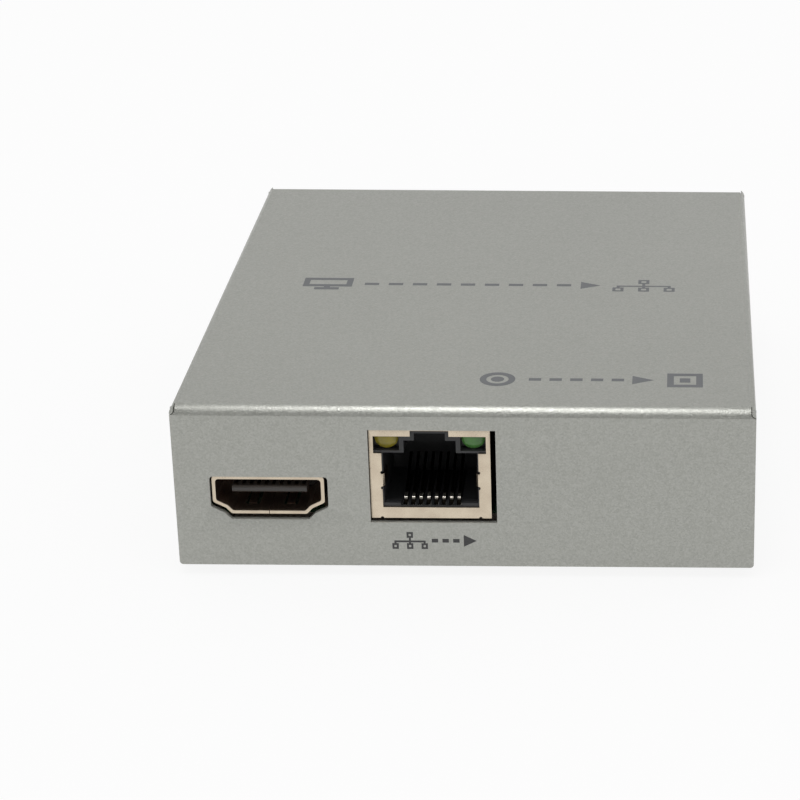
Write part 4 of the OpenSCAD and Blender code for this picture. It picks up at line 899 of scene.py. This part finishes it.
@dataclass
class Printing:
    """Plain pictograms in ink where such a case is printed: a screen that sends to a network.

    Places are in millimetres from the cover's front lower left corner. A share is of the pictogram's
    height, but foot_share is of the screen's width, dash_share of a dash's step, and front_line_share and
    head_share of the line.
    """

    thickness: float = 0.012
    line: float = 0.9
    long_start: Point2 = (11.5, 43.9)
    long_w: float = 54.5
    height: float = 4.8
    short_start: Point2 = (40.0, 7.7)
    short_w: float = 30.0
    front_start: Point2 = (28.6, 2.5)
    front_w: float = 11.3
    front_h: float = 2.5
    long_dashes: int = 9
    short_dashes: int = 5
    front_dashes: int = 3
    front_line_share: float = 0.6
    screen_w_share: float = 1.5
    stand_share: float = 0.26
    foot_share: float = 0.5
    tree_w_share: float = 1.9
    leaf_share: float = 0.34
    core_share: float = 0.3
    dash_share: float = 0.6
    head_share: float = 3.2

    def screen(self, ink: Stencil, x: float, y: float, height: float, line: float) -> float:
        """Draws a screen on its stand.

        Args:
            ink: The stencil.
            x: Its left end.
            y: Where its foot stands.
            height: Its height.
            line: Width of its line.

        Returns:
            Its width.
        """
        width = self.screen_w_share * height
        stand = self.stand_share * height
        ink.box(x, y + stand, width, height - stand, line)
        ink.bar(x + width / 2 - line / 2, y + line, line, stand - line)
        foot = self.foot_share * width
        ink.bar(x + (width - foot) / 2, y, foot, line)
        return width

    def tree(self, ink: Stencil, x: float, y: float, height: float, line: float) -> float:
        """Draws one box joined to three below it.

        Args:
            ink: The stencil.
            x: Its left end.
            y: Where its lower boxes stand.
            height: Its height.
            line: Width of its line.

        Returns:
            Its width.
        """
        width = self.tree_w_share * height
        small = self.leaf_share * height
        middle = x + width / 2
        ink.box(middle - small / 2, y + height - small, small, small, line / 2)
        ink.bar(middle - line / 4, y + 0.5 * height, line / 2, height / 2 - small)
        ink.bar(x + small / 2 - line / 4, y + 0.5 * height - line / 2, width - small + line / 2, line / 2)
        for share in (0.0, 0.5, 1.0):
            left = x + share * (width - small)
            ink.bar(left + small / 2 - line / 4, y + small, line / 2, 0.5 * height - line / 2 - small)
            ink.box(left, y, small, small, line / 2)
        return width

    def dashes(self, ink: Stencil, x: float, y: float, width: float, count: int, line: float) -> None:
        """Draws a dashed line that ends in an arrow head.

        Args:
            ink: The stencil.
            x: Its left end.
            y: Height of its middle.
            width: Its length.
            count: How many dashes it has.
            line: Its width.
        """
        head = self.head_share * line
        step = (width - head) / count
        for i in range(count):
            ink.bar(x + i * step, y - line / 2, self.dash_share * step, line)
        ink.arrow_head(x + width - head, y, head, head)

    def build(self, case: Case, paint: Paintbox) -> None:
        """Prints the top and the front panel.

        Args:
            case: The case that is printed.
            paint: The materials.
        """
        right, back, up = Vector((1, 0, 0)), Vector((0, 1, 0)), Vector((0, 0, 1))
        middle = self.height / 2
        ink = Stencil(case.at(*self.long_start, case.size.z), right, back, self.thickness)
        screen_w = self.screen(ink, 0.0, 0.0, self.height, self.line)
        tree_w = self.tree_w_share * self.height
        gap = 2 * self.line
        self.dashes(ink, screen_w + gap, middle, self.long_w - screen_w - tree_w - 2 * gap,
                    self.long_dashes, self.line)
        self.tree(ink, self.long_w - tree_w, 0.0, self.height, self.line)
        ink.piece("top_pictogram", GREY_INK, paint)

        ink = Stencil(case.at(*self.short_start, case.size.z), right, back, self.thickness)
        ink.ring(middle, middle, middle, self.line)
        ink.dot(middle, middle, self.line)
        self.dashes(ink, self.height + gap, middle, self.short_w - 2 * self.height - 2 * gap,
                    self.short_dashes, self.line)
        ink.box(self.short_w - self.height, 0.0, self.height, self.height, self.line)
        core = self.core_share * self.height
        ink.bar(self.short_w - middle - core / 2, middle - core / 2, core, core)
        ink.piece("send_pictogram", GREY_INK, paint)

        ink = Stencil(case.at(self.front_start[0], 0.0, self.front_start[1]), right, up, self.thickness)
        line = self.front_line_share * self.line
        tree_w = self.tree(ink, 0.0, 0.0, self.front_h, line)
        self.dashes(ink, tree_w + line, self.front_h / 2, self.front_w - tree_w - line,
                    self.front_dashes, line)
        ink.piece("network_pictogram", BLACK_INK, paint)


@dataclass
class HdmiSocket:
    """The plated shell, its insulator and the contact strips."""

    shell_edge_r: float = 0.16
    plastic_edge_r: float = 0.05

    def build(self, paint: Paintbox) -> None:
        """Rounds and dresses the socket.

        Args:
            paint: The materials.
        """
        finished(softened("hdmi_shell", self.shell_edge_r), SHELL_NICKEL, Body.CASE, paint)
        finished(softened("hdmi_insulator", self.plastic_edge_r), TONGUE_PLASTIC, Body.CASE, paint)
        paint.dress(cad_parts["hdmi_contacts"], STRIP_GOLD)


@dataclass
class NetworkSocket:
    """The shield, the housing, the contact wires and the two indicators."""

    shield_edge_r: float = 0.05
    housing_edge_r: float = 0.06

    def build(self, paint: Paintbox) -> None:
        """Rounds and dresses the socket.

        Args:
            paint: The materials.
        """
        finished(softened("rj45_shield", self.shield_edge_r), WARM_NICKEL, Body.CASE, paint)
        finished(softened("rj45_housing", self.housing_edge_r), SOCKET_PLASTIC, Body.CASE, paint)
        for node, finish in (("rj45_contacts", SPRING_GOLD), ("rj45_led_yellow", YELLOW_RESIN),
                             ("rj45_led_green", GREEN_RESIN), ("rj45_led_leads", TIN)):
            paint.dress(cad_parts[node], finish)


@dataclass
class Board:
    """The printed board with everything soldered to it, and what holds it."""

    legend_line: float = 0.15
    legend_gap: float = 0.35
    legend_t: float = 0.01
    finishes: dict[str, Finish] = field(default_factory=lambda: {
        "main_board": SOLDER_MASK, "pcb_standoffs": TURNED_BRASS, "pcb_screws": ZINC,
        "network_transformer": CHIP_RESIN, "network_phy_chip": CHIP_RESIN, "main_processor": CHIP_SUBSTRATE,
        "thermal_pad": SOFT_PAD, "heat_sink": ALUMINIUM, "hdmi_receiver_chip": CHIP_RESIN,
        "memory_chips": CHIP_RESIN, "flash_chip": CHIP_RESIN, "crystals": TIN, "power_inductors": FERRITE,
        "converter_chips": CHIP_RESIN, "electrolytic_capacitors": ALUMINIUM, "small_capacitors": CERAMIC,
        "small_resistors": CHIP_RESIN, "surge_arrays": CHIP_RESIN,
    })
    outlined: Sequence[str] = (
        "network_transformer", "network_phy_chip", "main_processor", "hdmi_receiver_chip", "memory_chips",
        "flash_chip", "crystals", "power_inductors", "converter_chips", "electrolytic_capacitors",
        "surge_arrays",
    )

    def build(self, paint: Paintbox) -> None:
        """Dresses the board's parts and prints its outlines.

        Args:
            paint: The materials.
        """
        for node, finish in self.finishes.items():
            paint.dress(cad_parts[node], finish)
        self.legend(paint)

    def legend(self, paint: Paintbox) -> None:
        """Prints a thin frame round each larger part.

        Args:
            paint: The materials.
        """
        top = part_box("main_board")[1].z
        ink = Stencil(Vector((0, 0, top)), Vector((1, 0, 0)), Vector((0, 1, 0)), self.legend_t)
        for node in self.outlined:
            for low, high in islands(node):
                size = (high - low) / MM + Vector((1, 1, 0)) * 2 * self.legend_gap
                corner = low / MM - Vector((1, 1, 0)) * self.legend_gap
                ink.box(corner.x, corner.y, size.x, size.y, self.legend_line)
        ink.piece("board_legend", LEGEND_INK, paint)


@dataclass
class RearRow:
    """The power and infrared jacks, the reset switch and the two lights at the back."""

    jack_edge_r: float = 0.08
    finishes: dict[str, Finish] = field(default_factory=lambda: {
        "dc_jack_pin": TIN, "dc_jack_spring": GOLD_FLASH, "dc_jack_terminals": TIN,
        "ir_jack_contacts": GOLD_FLASH,
        "reset_switch_body": SOCKET_PLASTIC, "reset_switch_cover": TIN, "reset_dome": TIN,
        "reset_switch_legs": TIN, "led_holders": SOCKET_PLASTIC, "power_led": RED_RESIN,
        "status_led": GREEN_RESIN, "led_leads": TIN,
    })

    def build(self, paint: Paintbox) -> None:
        """Rounds and dresses the row.

        Args:
            paint: The materials.
        """
        for node in ("dc_jack_body", "ir_jack_body"):
            finished(softened(node, self.jack_edge_r), SOCKET_PLASTIC, Body.CASE, paint)
        finished(softened("reset_button", self.jack_edge_r), SOCKET_PLASTIC, Body.PLUNGER, paint)
        for node, finish in self.finishes.items():
            paint.dress(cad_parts[node], finish)


# The studio


@dataclass
class Studio:
    """Camera, floor, world and lamp.

    The camera's place is in millimetres from the cover's front lower left corner, its angles are in
    degrees, and pixels are those of the 800 pixel square photograph. The lamp's place is from the middle
    of the feet's underside. Reflections see a room that brightens from its front to its back over
    dark_reach, and a patch of ceiling that brightens toward ceiling_way over ceiling_reach.
    """

    photo_px: float = 800.0
    focal_px: float = 2673.4
    middle_px: Point2 = (691.1, 400.0)
    sensor: float = 36.0
    near_clip: float = 0.01
    camera_place: Point3 = (67.56, -321.84, 160.52)
    pitch: float = 22.922
    yaw: float = -0.139
    roll: float = 0.396
    floor_side: float = 4000.0
    floor_colour: Colour = (0.86, 0.86, 0.86)
    shadow_share: float = 0.12
    sky_light: float = 0.82
    mirrored_front: float = 0.15
    mirrored_back: float = 0.6
    mirrored_ceiling: float = 4.0
    dark_reach: Point2 = (-0.75, -0.1)
    ceiling_reach: Point2 = (0.84, 0.95)
    ceiling_way: Point3 = (0.0, -0.26, 0.966)
    lamp_w: float = 220.0
    lamp_place: Point3 = (-60.0, -180.0, 900.0)
    lamp_power: float = 1.1

    def camera_turn(self) -> Matrix:
        """Works out the camera's turn from its angles.

        Returns:
            The camera's axes in the row frame.
        """
        pitch, yaw, roll = (math.radians(a) for a in (self.pitch, self.yaw, self.roll))
        level = Matrix(((1, 0, 0), (0, 0, -1), (0, 1, 0)))
        tilt = Matrix.Rotation(pitch, 3, "X")
        swing = Matrix.Rotation(yaw, 3, "Y")
        lean = Matrix.Rotation(roll, 3, "Z")
        right, down, ahead = lean @ swing @ tilt @ level
        return Matrix((right, -down, -ahead)).transposed()

    def add_camera(self, case: Case) -> None:
        """Sets the camera at the photograph's place and angle.

        Args:
            case: The case that it looks at.
        """
        lens = bpy.data.cameras.new("camera")
        lens.sensor_width = self.sensor
        lens.lens = self.focal_px / self.photo_px * self.sensor
        lens.shift_x = (self.photo_px / 2 - self.middle_px[0]) / self.photo_px
        lens.shift_y = (self.middle_px[1] - self.photo_px / 2) / self.photo_px
        lens.clip_start = self.near_clip
        camera = bpy.data.objects.new("camera", lens)
        camera.matrix_world = Matrix.Translation(case.at(*self.camera_place)) @ self.camera_turn().to_4x4()
        bpy.context.scene.collection.objects.link(camera)
        bpy.context.scene.camera = camera

    @staticmethod
    def seen(bench: Bench) -> tuple[bpy.types.NodeSocket, bpy.types.NodeSocket]:
        """Tells apart what sees a surface or the world.

        Args:
            bench: The material's or world's bench.

        Returns:
            1 for what the camera or clear glass sees, else 0, and the same for a reflection.
        """
        light_path = bench.put("LightPath")
        plain = bench.maths("MAXIMUM", light_path.outputs["Is Camera Ray"],
                            light_path.outputs["Is Transmission Ray"])
        return plain, light_path.outputs["Is Glossy Ray"]

    def add_floor(self) -> None:
        """Lays the pale floor, which keeps a soft share of the shadow."""
        shape = bmesh.new()
        bmesh.ops.create_grid(shape, x_segments=1, y_segments=1, size=self.floor_side / 2 * MM)
        floor = link_mesh("floor", shape, SMOOTH_BELOW)
        material = bpy.data.materials.new("floor")
        bench = emptied(material)
        matt = bench.put("BsdfDiffuse", {"Color": (*self.floor_colour, 1.0)})
        glow = bench.put("Emission", {"Color": (*WHITE, 1.0), "Strength": 1.0})
        looked_at = bench.maths("MAXIMUM", *self.seen(bench))
        share = bench.maths("MULTIPLY", looked_at, 1.0 - self.shadow_share)
        both = bench.put("MixShader", {0: share, 1: matt.outputs[0], 2: glow.outputs[0]})
        bench.put("OutputMaterial", {"Surface": both.outputs[0]})
        floor.data.materials.append(material)

    def add_world(self) -> None:
        """Makes the even sky, white where it is seen, and the room that reflections see."""
        world = bpy.data.worlds.new("studio")
        bench = emptied(world)
        sky = bench.put("Background", {"Color": (*WHITE, 1.0), "Strength": self.sky_light})
        backdrop = bench.put("Background", {"Color": (*WHITE, 1.0), "Strength": 1.0})
        way = bench.put("TexCoord").outputs["Generated"]
        back = bench.put("SeparateXYZ", {0: way}).outputs[1]
        walls = bench.span(back, *self.dark_reach, self.mirrored_front, self.mirrored_back)
        near = bench.put("VectorMath", {0: way, 1: self.ceiling_way}, operation="DOT_PRODUCT")
        ceiling = bench.span(near.outputs["Value"], *self.ceiling_reach, 0.0, self.mirrored_ceiling)
        strength = bench.maths("ADD", walls, ceiling)
        room = bench.put("Background", {"Color": (*WHITE, 1.0), "Strength": strength})
        plain, mirrored = self.seen(bench)
        lit = bench.put("MixShader", {0: mirrored, 1: sky.outputs[0], 2: room.outputs[0]})
        both = bench.put("MixShader", {0: plain, 1: lit.outputs[0], 2: backdrop.outputs[0]})
        bench.put("OutputWorld", {"Surface": both.outputs[0]})
        bpy.context.scene.world = world

    def add_lamp(self, case: Case) -> None:
        """Hangs the soft lamp over the case.

        Args:
            case: The case, whose middle it points at.
        """
        light = bpy.data.lights.new("overhead", "AREA")
        light.size = self.lamp_w * MM
        light.energy = self.lamp_power
        lamp = bpy.data.objects.new("overhead", light)
        place = Vector(self.lamp_place) * MM
        turn = (place - case.at(*(case.size / 2))).to_track_quat("Z", "Y")
        lamp.matrix_world = Matrix.Translation(place) @ turn.to_matrix().to_4x4()
        bpy.context.scene.collection.objects.link(lamp)

    def build(self, case: Case) -> None:
        """Sets up the whole studio.

        Args:
            case: The case that stands in it.
        """
        bpy.context.scene.view_settings.view_transform = "Standard"
        self.add_camera(case)
        self.add_floor()
        self.add_world()
        self.add_lamp(case)


def main() -> None:
    """Builds the studio and the object."""
    logging.basicConfig(level=logging.INFO, format="%(message)s")
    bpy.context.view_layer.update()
    paint = Paintbox()
    case = Case()
    Studio().build(case)
    case.build(paint)
    Printing().build(case, paint)
    for assembly in (HdmiSocket(), NetworkSocket(), Board(), RearRow()):
        assembly.build(paint)
        log.info("built %s", type(assembly).__name__)


if __name__ == "__main__":
    main()
